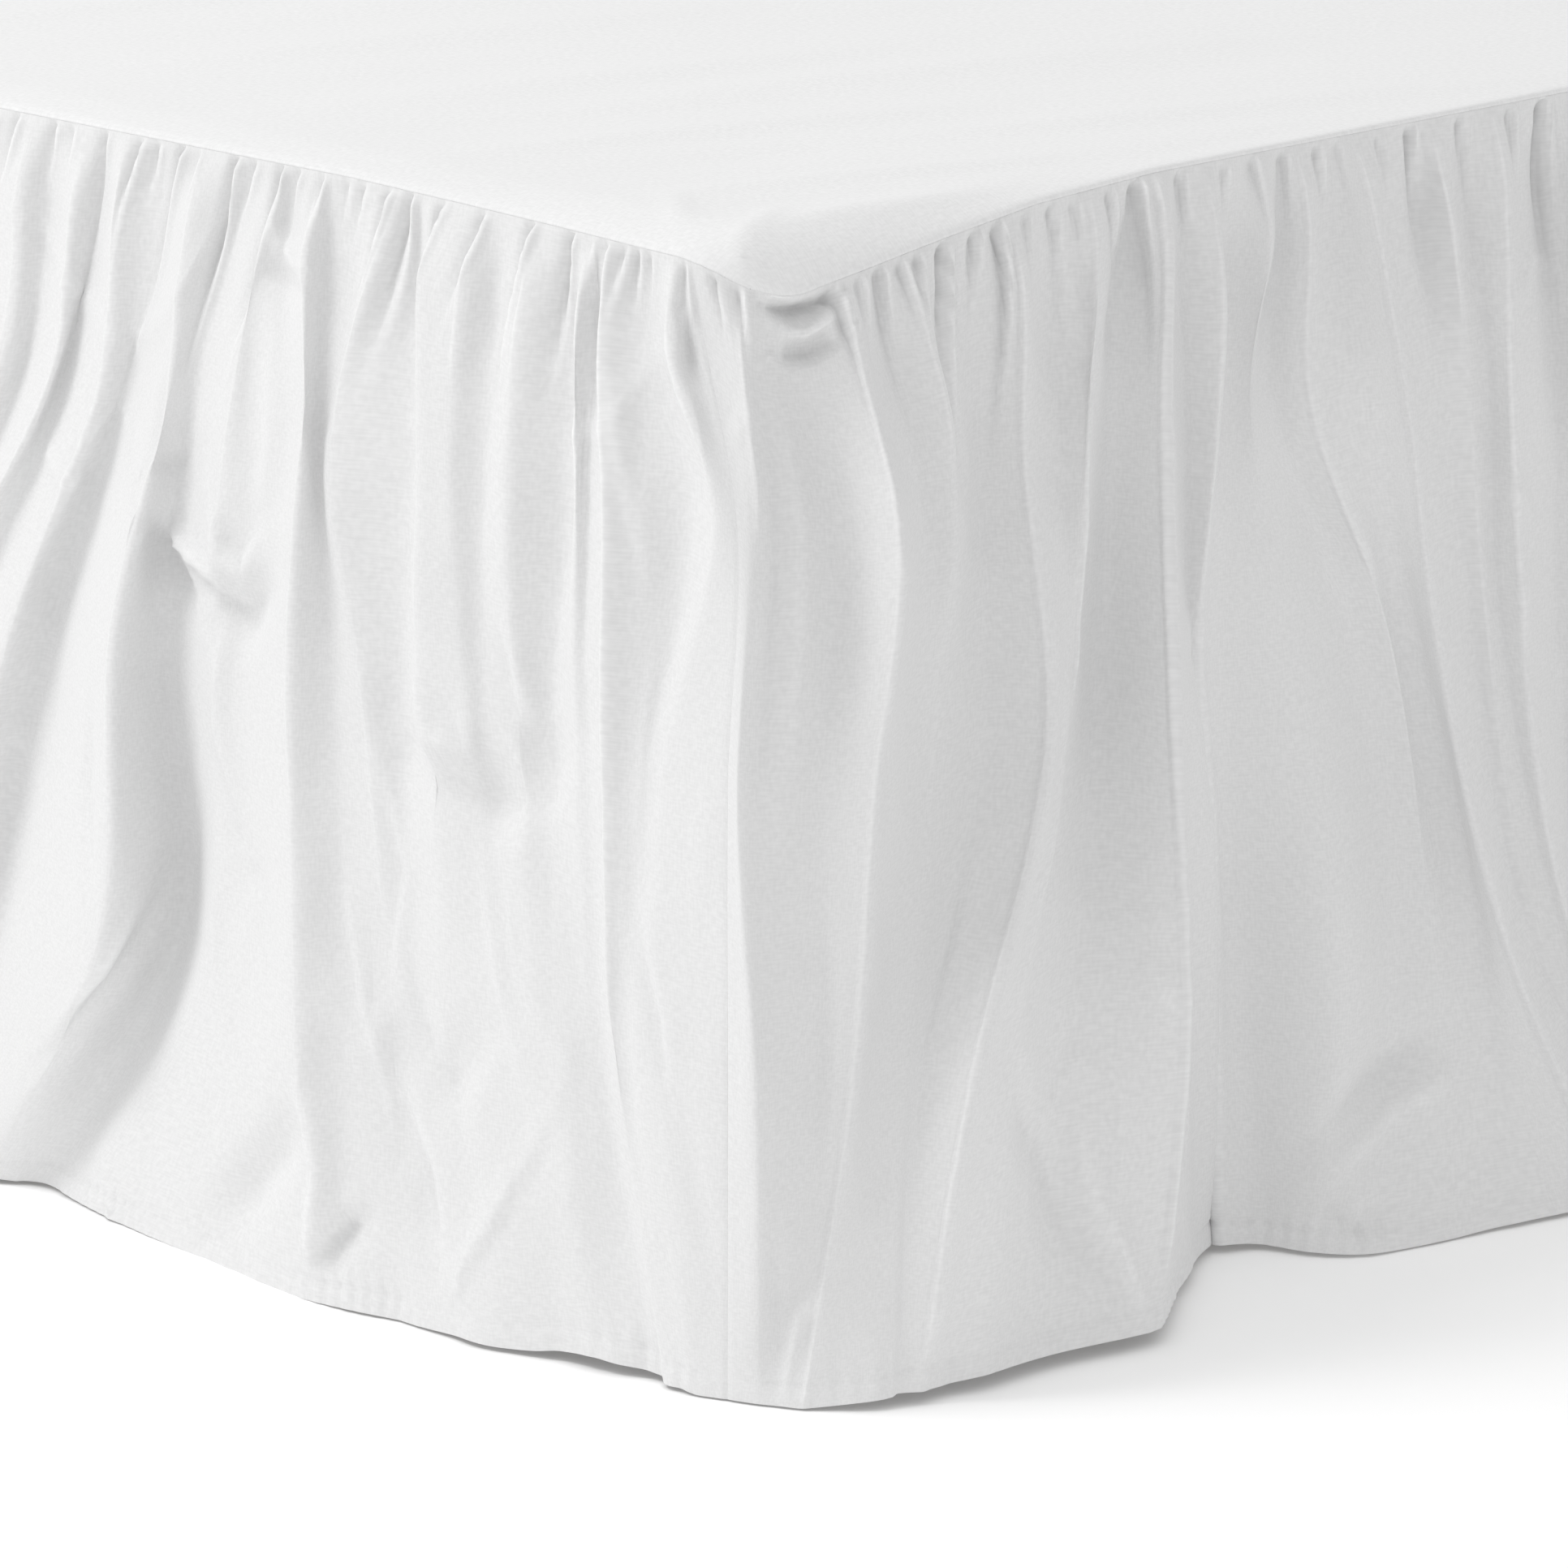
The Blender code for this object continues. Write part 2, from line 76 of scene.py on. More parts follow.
def colour_ramp(tree, source, output, stops):
    """A colour ramp with (place, hex colour) stops."""
    ramp = node(tree, "ShaderNodeValToRGB", {}, ("Fac", source, output))
    elements = ramp.color_ramp.elements
    while len(elements) < len(stops):
        elements.new(0.5)
    for element, (place, hex_colour) in zip(elements, stops):
        element.position = place
        element.color = linear(hex_colour)
    return ramp


def woven_base_cover():
    """Polyester plain weave, matt; threads 1.2 mm apart, drawn at 2.4 mm so that they show."""
    material, tree, shader = new_material("polyester_base_cover", 0.85, 0.3)
    thread = 2.4
    place = node(tree, "ShaderNodeTexCoord", {})
    bands = []
    for axis in ("X", "Y", "Z"):
        bands.append(node(
            tree, "ShaderNodeTexWave",
            {"bands_direction": axis, "Scale": 1000.0 / thread / 20.0, "Distortion": 0.8, "Detail": 1.0},
            ("Vector", place, "Object")))
    over = node(tree, "ShaderNodeMath", {"operation": "ADD"}, (0, bands[0], "Fac"), (1, bands[1], "Fac"))
    weave = node(tree, "ShaderNodeMath", {"operation": "ADD"}, (0, over, 0), (1, bands[2], "Fac"))
    cloud = node(tree, "ShaderNodeTexNoise", {"Scale": 9.0, "Detail": 4.0}, ("Vector", place, "Object"))
    ramp = colour_ramp(tree, cloud, "Fac", ((0.3, "#C4C1BB"), (0.7, "#D2CFC9")))
    bump = node(tree, "ShaderNodeBump", {"Strength": 0.4, "Distance": 0.0006}, ("Height", weave, 0))
    tree.links.new(ramp.outputs["Color"], shader.inputs["Base Color"])
    tree.links.new(bump.outputs["Normal"], shader.inputs["Normal"])
    return material


def dress(cad_node, material):
    """Give a CAD node that stays in view its material."""
    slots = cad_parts[cad_node].data.materials
    slots.clear()
    slots.append(material)


dress("bed_base", woven_base_cover())


# ---- Legs -----------------------------------------------------------------------------------
# Four plain tapered legs of beech, turned and finished in a clear satin lacquer, and screwed up
# into the corners of the base. The skirt hides them; they carry the bed.

def lacquered_beech():
    """Beech with upright grain 3 mm wide, drawn at 6 mm, and the short dark flecks of its rays."""
    material, tree, shader = new_material("lacquered_beech", 0.35, 0.5)
    shader.inputs["Coat Weight"].default_value = 0.3
    shader.inputs["Coat Roughness"].default_value = 0.2
    place = node(tree, "ShaderNodeTexCoord", {})
    stretch = node(tree, "ShaderNodeMapping", {"Scale": (1.0, 1.0, 0.06)}, ("Vector", place, "Object"))
    grain = node(
        tree, "ShaderNodeTexNoise", {"Scale": 160.0, "Detail": 6.0}, ("Vector", stretch, "Vector"))
    ramp = colour_ramp(tree, grain, "Fac", ((0.30, "#B98F63"), (0.55, "#CFA67A"), (0.75, "#DDBB92")))
    rays = node(tree, "ShaderNodeTexNoise", {"Scale": 900.0, "Detail": 1.0}, ("Vector", stretch, "Vector"))
    bump = node(tree, "ShaderNodeBump", {"Strength": 0.15, "Distance": 0.0003}, ("Height", rays, "Fac"))
    tree.links.new(ramp.outputs["Color"], shader.inputs["Base Color"])
    tree.links.new(bump.outputs["Normal"], shader.inputs["Normal"])
    return material


beech = lacquered_beech()
for leg in ("leg_foot_left", "leg_foot_right", "leg_head_left", "leg_head_right"):
    dress(leg, beech)


# ---- Platform panel -------------------------------------------------------------------------
# The flat sheet that lies between the base and the mattress, cut from the same cotton percale as
# the strips. Its edges roll over the base's edge to the seam, and it lies a little creased.

BED_WIDTH = 0.90
BED_LENGTH = 2.00
SEAM_HEIGHT = 0.516
# The skirt spreads past the foot, so the bed lies this far towards the head in the part's box.
HEAD_SHIFT = 0.057
CORNER_RADIUS = 0.045
# The edge hangs round the foot corners: how far in, how round, and in full over the last stretch.
SAG_REACH = 0.040
SAG_ROUND = 2.5
SEAM_TURN = 0.001
PANEL_HEIGHT = 0.0024

# How far the edge hangs near a foot corner, millimetres; along is under zero on the foot side.
SEAM_SAG = (
    # along, sag
    (-450, 2), (-270, 2), (-190, 4), (-125, 6), (-75, 8), (-45, 9), (-30, 11), (-18, 14), (-8, 18),
    (0, 21), (8, 23), (18, 25), (30, 25), (45, 23), (75, 19), (125, 12), (190, 4), (270, 0), (2000, 0),
)


def between(low, high, share):
    return low + (high - low) * share


def table_value(table, key):
    """Value of a two-column table at a key, straight between its rows."""
    return float(np.interp(key, [row[0] for row in table], [row[1] for row in table]))


def round_corner(out, back):
    """Move a point of the square bed plan onto the plan with rounded foot corners."""
    across = (out + CORNER_RADIUS) / CORNER_RADIUS
    along = (CORNER_RADIUS - back) / CORNER_RADIUS
    if across <= 0.0 or along <= 0.0:
        return out, back
    new_across = across * math.sqrt(1.0 - along * along / 2.0)
    new_along = along * math.sqrt(1.0 - across * across / 2.0)
    return (new_across - 1.0) * CORNER_RADIUS, (1.0 - new_along) * CORNER_RADIUS


def edge_sag(along, inward):
    """Sag of the panel at a distance from the corner and from that edge."""
    share = min(1.0, 1.0 - (inward - SEAM_TURN) / SAG_REACH)
    if share <= 0.0:
        return 0.0
    return table_value(SEAM_SAG, along * 1000.0) / 1000.0 * share ** SAG_ROUND


def panel_height(out, back):
    """Height of the seam's cloth at a point of the square bed plan, from a foot corner."""
    return SEAM_HEIGHT - max(edge_sag(back, -out), edge_sag(out, back))


def to_bed(point, mirrored):
    """Corner measures to the bed's own axes, the left corner as a mirror image."""
    side = -1.0 if mirrored else 1.0
    out, back, height = point
    return side * (BED_WIDTH / 2.0 + out), -BED_LENGTH / 2.0 + HEAD_SHIFT + back, height


def sheet_mesh(name, grid, flat, flip):
    """One layer of cloth on a grid of points, its UV map in metres of flat cloth."""
    columns, rows = grid.shape[:2]
    numbers = np.arange(columns * rows).reshape(columns, rows)
    corners = [numbers[:-1, :-1], numbers[1:, :-1], numbers[1:, 1:], numbers[:-1, 1:]]
    if flip:
        corners.reverse()
    faces = np.stack(corners, axis=-1).reshape(-1, 4)
    mesh = bpy.data.meshes.new(name)
    mesh.from_pydata(grid.reshape(-1, 3).tolist(), [], faces.tolist())
    layer = mesh.uv_layers.new(name="flat_cloth")
    layer.data.foreach_set("uv", flat.reshape(-1, 2)[faces.reshape(-1)].astype(np.float32).reshape(-1))
    mesh.shade_smooth()
    made = bpy.data.objects.new(name, mesh)
    bpy.context.scene.collection.objects.link(made)
    return made


def cotton_percale(name, gathered):
    """White cotton percale, a matt plain weave with soft slubs and a few dark neps.

    Its threads are 0.4 mm apart, drawn at 1.1 mm so that they show. Gathered, the cloth has a
    painted highlight on the sharp crests of its folds and painted shade in their valleys.
    """
    material, tree, shader = new_material(name, 0.9, 0.2)
    shader.inputs["Sheen Weight"].default_value = 0.08
    shader.inputs["Sheen Roughness"].default_value = 0.5
    thread = 0.0011
    place = node(tree, "ShaderNodeUVMap", {"uv_map": "flat_cloth"})
    slubs = []
    for stretch in ((1.0, 0.26, 1.0), (0.26, 1.0, 1.0)):
        scaled = node(tree, "ShaderNodeMapping", {"Scale": stretch}, ("Vector", place, "UV"))
        slubs.append(node(
            tree, "ShaderNodeTexNoise", {"Scale": 1.0 / thread, "Detail": 1.0, "Roughness": 0.4},
            ("Vector", scaled, "Vector")))
    weave = node(tree, "ShaderNodeMath", {"operation": "ADD"}, (0, slubs[0], "Fac"), (1, slubs[1], "Fac"))
    tone = node(tree, "ShaderNodeMath", {"operation": "MULTIPLY", 1: 0.5}, (0, weave, 0))
    cloth = colour_ramp(tree, tone, 0, ((0.36, "#EDEDED"), (0.50, "#F1F1F1"), (0.64, "#F5F5F5")))
    cells = node(tree, "ShaderNodeTexVoronoi", {"Scale": 7.0, "Randomness": 1.0}, ("Vector", place, "UV"))
    nep = colour_ramp(tree, cells, "Distance", ((0.006, "#8C8478"), (0.011, "#FFFFFF")))
    colour = node(
        tree, "ShaderNodeMixRGB", {"blend_type": "MULTIPLY", "Fac": 1.0},
        ("Color1", cloth, "Color"), ("Color2", nep, "Color"))
    bump = node(tree, "ShaderNodeBump", {"Strength": 0.4, "Distance": 0.00012}, ("Height", weave, 0))
    tree.links.new(bump.outputs["Normal"], shader.inputs["Normal"])
    if not gathered:
        tree.links.new(colour.outputs["Color"], shader.inputs["Base Color"])
        return material
    # Painted highlight and painted shade: by how pointed the cloth is, sharp crests are coloured whiter
    # and hollow valleys greyer, standing in for the light the crests catch and the shade in the tucks.
    geometry = node(tree, "ShaderNodeNewGeometry", {})
    painted_fold_light = colour_ramp(
        tree, geometry, "Pointiness",
        ((0.42, "#E2E2E2"), (0.49, "#F6F6F6"), (0.51, "#F6F6F6"), (0.55, "#FFFFFF")))
    colour_and_painted_fold_light = node(
        tree, "ShaderNodeMixRGB", {"blend_type": "MULTIPLY", "Fac": 1.0},
        ("Color1", colour, "Color"), ("Color2", painted_fold_light, "Color"))
    tree.links.new(colour_and_painted_fold_light.outputs["Color"], shader.inputs["Base Color"])
    return material


# Soft creases of the panel, from the corner of the bed: out is under zero over the panel.
PANEL_CREASES = (
    # start out, back, end out, back, wide, high: millimetres, high under zero for a trough
    (-30, 60, -15, 190, 18, 0.9),
    (-75, 45, -30, 170, 22, -1.0),
    (-120, 40, -40, 260, 26, 1.3),
    (-60, 150, 0, 420, 30, -1.2),
    (-190, 30, -90, 330, 34, -1.4),
    (-150, 180, -40, 520, 36, 1.6),
    (-260, 50, -160, 330, 30, 1.4),
    (-230, 240, -110, 640, 44, -1.5),
    (-330, 40, -230, 300, 28, -1.3),
    (-300, 200, -190, 560, 36, 1.5),
    (-400, 70, -300, 420, 38, 1.4),
    (-470, 50, -380, 300, 30, -1.4),
    (-420, 260, -280, 760, 46, -1.6),
    (-540, 90, -440, 430, 40, 1.5),
    (-620, 50, -540, 280, 30, -1.2),
    (-600, 240, -470, 640, 44, 1.6),
    (-700, 90, -610, 430, 40, 1.3),
    (-520, 480, -330, 1100, 56, -1.8),
    (-330, 620, -120, 1260, 60, 1.8),
    (-90, 560, 0, 980, 40, -1.3),
    (-25, 20, -55, 75, 12, 0.8),
    (-60, 15, -110, 60, 12, 0.8),
    (-15, 35, -25, 110, 10, -0.7),
)
# Ridges of the panel stand higher than its troughs sink, because the base is right under it.
PANEL_RIDGE = 2.2
PANEL_TROUGH = 0.8
PANEL_LIFT = 0.0014
# Slow unevenness of the panel: metres high, then waves per metre along x, back along y, along y.
PANEL_DRIFTS = ((0.0013, 11.0, 4.0, 3.5), (0.0007, 34.0, 13.0, 9.0))
# Distances from the edge over which drifts and creases grow to their full height.
DRIFT_RIM = 0.03
CREASE_RIM = 0.02
# Section of the panel's rolled edge, millimetres in from the seam and down from the top.
EDGE_ROLL = ((0.8, 3.6), (0.0, 2.1), (0.5, 0.7))
# Grid of the panel, metres: step at the edge, growth per metre and how far in the steps grow.
PANEL_STEP = 0.004
PANEL_STEP_GROWTH = 0.012
PANEL_STEP_REACH = 0.6


def panel_steps(length, near_end):
    """Distances from an edge to the far end or the middle, wider apart further in."""
    stop = length / 2.0 if near_end else length
    steps = [0.0]
    while steps[-1] < stop:
        steps.append(steps[-1] + PANEL_STEP + PANEL_STEP_GROWTH * min(steps[-1], PANEL_STEP_REACH))
    steps.pop()
    return steps + [stop]


def soft_ends(share, margin, power):
    """1 along the middle of a crease, falling softly towards its ends."""
    return np.sin(np.pi * np.clip(share, margin, 1.0 - margin)) ** power


def crease_height(out, back, creases):
    """Summed height of soft creases at points of the panel, in metres."""
    total = np.zeros_like(out)
    for start_out, start_back, end_out, end_back, wide, high in creases:
        run = np.array([end_out - start_out, end_back - start_back]) / 1000.0
        length = np.hypot(*run)
        from_out, from_back = out - start_out / 1000.0, back - start_back / 1000.0
        share = np.clip((from_out * run[0] + from_back * run[1]) / length ** 2, 0.0, 1.0)
        gap = np.hypot(from_out - share * run[0], from_back - share * run[1])
        fade = soft_ends(share, 0.02, 0.7)
        deeper = PANEL_RIDGE if high > 0.0 else PANEL_TROUGH
        total += deeper * high / 1000.0 * fade * np.exp(-(gap / (wide / 2000.0)) ** 2)
    return total


def rolled_steps(steps):
    """Grid lines as (distance in, drop), with the rolled edge before the first step."""
    roll = [(inward / 1000.0, drop / 1000.0) for inward, drop in EDGE_ROLL]
    return roll + [(step, 0.0) for step in steps[1:]]


def platform_panel():
    """The panel's grid, with a rolled edge, soft creases and a slow unevenness."""
    half = rolled_steps(panel_steps(BED_WIDTH, True))
    across = half + [(BED_WIDTH - inward, drop) for inward, drop in half[-2::-1]]
    down = rolled_steps(panel_steps(BED_LENGTH, False))
    grid = np.zeros((len(across), len(down), 3))
    flat = np.zeros((len(across), len(down), 2))
    for column, (place, side_drop) in enumerate(across):
        mirrored = place < BED_WIDTH / 2.0
        out = -place if mirrored else place - BED_WIDTH
        for row, (back, foot_drop) in enumerate(down):
            height = panel_height(out, back) + PANEL_HEIGHT - max(side_drop, foot_drop)
            plan_out, plan_back = round_corner(out, back)
            x, y, z = to_bed((plan_out, plan_back, height), mirrored)
            drift = PANEL_LIFT
            for layer, (high, wide, skew, long) in enumerate(PANEL_DRIFTS):
                drift += high * noise.noise((x * wide - y * skew, y * long, 5.0 * layer))
            grid[column, row] = (x, y, z + drift * min(1.0, -out / DRIFT_RIM, back / DRIFT_RIM))
            flat[column, row] = (place, back)
    right_out = grid[..., 0] - BED_WIDTH / 2.0
    right_back = grid[..., 1] + BED_LENGTH / 2.0 - HEAD_SHIFT
    rim = np.clip(np.minimum(-right_out, right_back) / CREASE_RIM, 0.0, 1.0)
    grid[..., 2] += crease_height(right_out, right_back, PANEL_CREASES) * rim
    return grid, flat


panel_grid, panel_flat = platform_panel()
panel = sheet_mesh("cotton_platform_panel", panel_grid, panel_flat, False)
panel.data.materials.append(cotton_percale("cotton_percale_flat", False))
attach(panel, "root")
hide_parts("platform_panel")


# ---- Gathered strips ------------------------------------------------------------------------
# Three strips of cotton percale, cut half as long again as the edge they are sewn to, gathered on
# a thread, seamed under the panel's edge and hemmed 10 mm wide. They hang to the floor in uneven
# folds, spread at the foot corners, and each side strip is joined to the foot strip near a corner.

# Shares of the drop at which a fold has a point; FOLDS gives the last four points.
GIVEN_AT = (0.0, 0.055, 0.20, 0.45, 0.72, 1.0)
# Under the gathers a fold leans this share of its way to the upper level and stands this far out.
GATHER_LEAN = 0.15
RIDGE_BULGE = 12
VALLEY_BULGE = 3
FOLD_SEED = 11

# Folds round the right foot corner, millimetres from the corner of the bed: out = past the long
# side, in = from the foot towards the head (under zero: past the foot).
# A name that starts with V is a valley, any other name is a ridge. crisp: 0 round, 1 sharp.
FOLDS = (
    # name, crisp, seam, upper out, in, middle out, in, lower out, in, hem out, in, lift
    ("Va", 0.0, -535, -555, -20, -610, -35, -660, -50, -655, -105, 4),
    ("Ra", 0.3, -495, -480, -35, -545, -55, -580, -85, -620, -100, 4),
    ("Vb", 0.0, -480, -470, -25, -525, -45, -560, -70, -580, -100, 4),
    ("Rb", 0.3, -455, -440, -35, -500, -55, -520, -80, -545, -95, 4),
    ("Vc", 0.0, -440, -440, -25, -485, -45, -515, -60, -510, -95, 4),
    ("Rc", 0.3, -425, -405, -35, -450, -55, -480, -75, -480, -90, 4),
    ("Vd", 0.0, -400, -395, -25, -440, -35, -460, -55, -465, -90, 4),
    ("Rd", 0.3, -370, -360, -35, -365, -70, -350, -95, -445, -85, 3),
    ("Ve", 0.0, -345, -350, -25, -360, -40, -345, -45, -420, -70, 2),
    ("Re", 0.3, -320, -315, -35, -315, -50, -300, -70, -380, -80, 1),
    ("Vf", 0.0, -310, -290, -30, -290, -50, -260, -80, -295, -95, 0),
    ("Rf", 0.5, -290, -260, -40, -245, -65, -205, -100, -195, -110, 0),
    ("Vg", 0.0, -280, -260, -30, -230, -50, -185, -85, -160, -110, 1),
    ("Rg", 0.2, -235, -245, -35, -210, -50, -160, -80, -130, -105, 1),
    ("Vh", 0.0, -220, -205, -20, -190, -40, -145, -80, -115, -105, 1),
    ("Rh", 0.4, -210, -185, -35, -160, -60, -115, -80, -85, -105, 2),
    ("Ri", 0.1, -180, -165, -35, -135, -55, -90, -80, -65, -105, 2),
    ("Vi", 0.0, -165, -150, -25, -125, -50, -75, -80, -45, -100, 3),
    ("Rj", 0.1, -140, -125, -35, -105, -50, -60, -80, -30, -95, 5),
    ("Vj", 0.0, -115, -100, -20, -90, -40, -45, -75, -10, -93, 6),
    ("Rk", 0.4, -105, -75, -40, -65, -50, -30, -75, 5, -90, 5),
    ("Vk", 0.0, -100, -70, -35, -55, -50, -20, -75, 20, -85, 4),
    ("Rl", 0.5, -90, -55, -40, -40, -55, -10, -80, 30, -85, 3),
    ("Vl", 0.0, -75, -40, -30, -30, -50, -5, -80, 35, -90, 2),
    ("Vm", 0.0, -65, -20, -20, -20, -45, 10, -80, 45, -90, 2),
    ("Rm", 0.4, -50, 5, -30, -5, -50, 25, -80, 55, -90, 1),
    ("V_join", 0.0, -35, 15, -25, 35, -50, 60, -75, 70, -85, 1),
    ("Rn", 0.4, -5, 25, -20, 45, -50, 80, -75, 85, -80, 1),
    ("V0", 0.0, 25, 30, 20, 60, -15, 80, -45, 95, -75, 1),
    ("R1", 0.5, 60, 60, 35, 80, 0, 95, -30, 105, -70, 1),
    ("V1", 0.0, 80, 30, 80, 65, 40, 95, -10, 125, -50, 4),
    ("R3", 0.2, 100, 35, 100, 60, 60, 100, 0, 130, -40, 5),
    ("V3", 0.0, 145, 20, 130, 60, 95, 105, 10, 130, -35, 6),
    ("R4", 0.4, 170, 35, 145, 85, 110, 130, 15, 135, -25, 6),
    ("V4", 0.0, 200, 30, 175, 80, 125, 130, 30, 135, -10, 6),
    ("R5", 0.4, 225, 40, 185, 70, 140, 125, 55, 140, 10, 7),
    ("V5", 0.0, 255, 20, 220, 45, 185, 105, 105, 140, 55, 7),
    ("R6", 0.6, 270, 40, 235, 85, 195, 130, 155, 145, 125, 7),
    ("V6", 0.0, 285, 25, 265, 50, 240, 50, 245, 60, 245, 4),
    ("R7", 0.2, 305, 40, 275, 50, 250, 50, 255, 65, 255, 4),
    ("V7", 0.0, 330, 20, 300, 40, 275, 55, 275, 75, 270, 3),
    ("R8", 0.0, 345, 25, 315, 50, 315, 90, 305, 100, 280, 2),
    ("V8", 0.0, 360, 25, 325, 40, 365, 80, 355, 120, 300, 1),
    ("R9", 0.3, 370, 40, 335, 55, 380, 90, 375, 130, 345, 1),
    ("V9", 0.0, 395, 35, 375, 55, 390, 95, 390, 135, 375, 2),
    ("R10", 0.5, 410, 40, 400, 65, 400, 110, 400, 145, 445, 2),
    ("V10", 0.0, 455, 30, 440, 50, 440, 90, 435, 145, 465, 2),
    ("R11", 0.2, 465, 35, 455, 55, 450, 90, 445, 145, 470, 2),
    ("V11", 0.0, 490, 35, 470, 55, 460, 95, 455, 145, 480, 2),
    ("R12", 0.4, 510, 45, 475, 65, 465, 100, 460, 150, 490, 2),
    ("V12", 0.0, 550, 35, 520, 55, 500, 80, 500, 150, 505, 2),
    ("R13", 0.3, 570, 45, 530, 65, 515, 95, 515, 150, 530, 2),
    ("V13", 0.0, 600, 30, 585, 50, 580, 75, 590, 150, 570, 2),
)
# First and last of these folds that the left foot corner repeats as a mirror image.
MIRRORED = ("Rj", "V5")
STRIP_SEAM = "V_join"

# Plain folds of the runs in between: reach out of the bed's side at each level, millimetres.
PLAIN_RIDGE = ((36, 46), (52, 68), (72, 94), (88, 116))
PLAIN_VALLEY = ((8, 22), (26, 42), (46, 66), (70, 92))
HEAD_EDGE = (6, 12, 22, 34)
HEAD_LIFT = 3
# Metres between them, the share of it that they stray and the millimetres that they lean sideways.
PLAIN_PITCH = 0.043
PLAIN_UNEVEN = 0.28
PLAIN_DRIFT = 16
PLAIN_CRISP = 0.3
PLAIN_LIFT = (1, 4)
# Over this many folds the plain ones settle from their given neighbour's reach.
PLAIN_SETTLE = 3.0


def seam_point(along):
    """Point of the seam line at a distance along the bed's edge from the foot corner."""
    out, back = (along, 0.0) if along < 0.0 else (0.0, along)
    height = panel_height(out, back)
    out, back = round_corner(out, back)
    return out, back, height


def outward(along):
    """Direction straight out of the bed at a place on the seam line."""
    turn = min(max((along + CORNER_RADIUS) / (2.0 * CORNER_RADIUS), 0.0), 1.0) * math.pi / 2.0
    return math.sin(turn), -math.cos(turn)


def fold_line(fold, mirrored):
    """Points of one ridge or valley from the seam to the hem."""
    along = fold[2] / 1000.0
    plan = [value / 1000.0 for value in fold[3:11]]
    bulge = (VALLEY_BULGE if fold[0].startswith("V") else RIDGE_BULGE) / 1000.0
    top = seam_point(along)
    normal = outward(along)
    lean = [between(top[axis], plan[axis], GATHER_LEAN) for axis in (0, 1)]
    push = bulge - sum((lean[axis] - top[axis]) * normal[axis] for axis in (0, 1))
    flat = [(lean[0] + normal[0] * push, lean[1] + normal[1] * push)] + list(zip(plan[0::2], plan[1::2]))
    points = [top]
    for share, (out, back) in zip(GIVEN_AT[1:], flat):
        points.append((out, back, between(top[2], fold[11] / 1000.0, share)))
    return [to_bed(point, mirrored) for point in points]


def plain_fold(first, last, share, is_ridge, settle, chance):
    """One plain fold between two given ones on the same straight run of the bed."""
    on_foot = first[2] < 0.0
    reaches = PLAIN_RIDGE if is_ridge else PLAIN_VALLEY
    fold = ["plain" if is_ridge else "V_plain", PLAIN_CRISP if is_ridge else 0.0]
    fold.append(between(first[2], last[2], share))
    drift = chance.uniform(-PLAIN_DRIFT, PLAIN_DRIFT)
    for level, (low, high) in enumerate(reaches):
        out_column = 3 + 2 * level
        along_column = out_column if on_foot else out_column + 1
        reach_column = out_column + 1 if on_foot else out_column
        along = between(first[along_column], last[along_column], share) + drift * GIVEN_AT[level + 2]
        reach = chance.uniform(low, high)
        given = abs(first[reach_column] if settle[0] < settle[1] else last[reach_column])
        reach = between(given, reach, min(1.0, min(settle) / PLAIN_SETTLE))
        fold += [along, -reach] if on_foot else [reach, along]
    fold.append(chance.uniform(*PLAIN_LIFT))
    return tuple(fold)


def plain_run(first, last, start_with_ridge, seed):
    """Plain ridges and valleys that fill the seam between two given folds."""
    chance = random.Random(seed)
    count = round(abs(last[2] - first[2]) / 1000.0 / PLAIN_PITCH) - 1
    count += 1 - count % 2
    folds = []
    for number in range(count):
        is_ridge = (number % 2 == 0) == start_with_ridge
        settle = (number + 1, count - number)
        place = number + 1 + chance.uniform(-PLAIN_UNEVEN, PLAIN_UNEVEN)
        folds.append(plain_fold(first, last, place / (count + 1), is_ridge, settle, chance))
    return folds


def head_fold():
    """The free end of a long side's strip at the head of the bed."""
    fold = ["V_end", 0.0, BED_LENGTH * 1000.0]
    for reach in HEAD_EDGE:
        fold += [reach, BED_LENGTH * 1000.0 - 1.0]
    return tuple(fold + [HEAD_LIFT])


def from_left_corner(fold):
    """Rewrite a fold of the mirrored left corner in the measures of the right corner."""
    row = list(fold)
    for column in (2, 3, 5, 7, 9):
        row[column] = -BED_WIDTH * 1000.0 - fold[column]
    return tuple(row)


def all_fold_lines():
    """Name, crispness, place on the seam and points of every fold, from head to head round the foot."""
    names = [fold[0] for fold in FOLDS]
    corner = list(FOLDS[names.index(MIRRORED[0]):names.index(MIRRORED[1]) + 1])
    end = head_fold()
    left = plain_run(corner[-1], end, True, FOLD_SEED)
    lines = []
    for fold in [end] + left[::-1] + corner[::-1]:
        lines.append((fold[0], fold[1], -BED_WIDTH - fold[2] / 1000.0, fold_line(fold, True)))
    foot = plain_run(from_left_corner(corner[0]), FOLDS[0], False, FOLD_SEED + 1)
    right = plain_run(FOLDS[-1], end, True, FOLD_SEED + 2)
    for fold in foot + list(FOLDS) + right + [end]:
        lines.append((fold[0], fold[1], fold[2] / 1000.0, fold_line(fold, False)))
    return lines


FOLD_LINES = all_fold_lines()
FOLD_NAMES = [line[0] for line in FOLD_LINES]
FOLD_CRISP = np.array([line[1] for line in FOLD_LINES])
FOLD_ALONG = np.array([line[2] for line in FOLD_LINES])
FOLD_POINTS = np.array([line[3] for line in FOLD_LINES])


def round_the_bed(along):
    """Point of the seam line at a distance from the right foot corner, all the way round the bed."""
    mirrored = along < -BED_WIDTH / 2.0
    return to_bed(seam_point(-BED_WIDTH - along if mirrored else along), mirrored)


def hermite(start, start_slope, end, end_slope, share):
    """Smooth curve between two points with the slopes it leaves and meets them at."""
    square, cube = share ** 2, share ** 3
    return ((2 * cube - 3 * square + 1) * start + (cube - 2 * square + share) * start_slope
            + (3 * square - 2 * cube) * end + (cube - square) * end_slope)


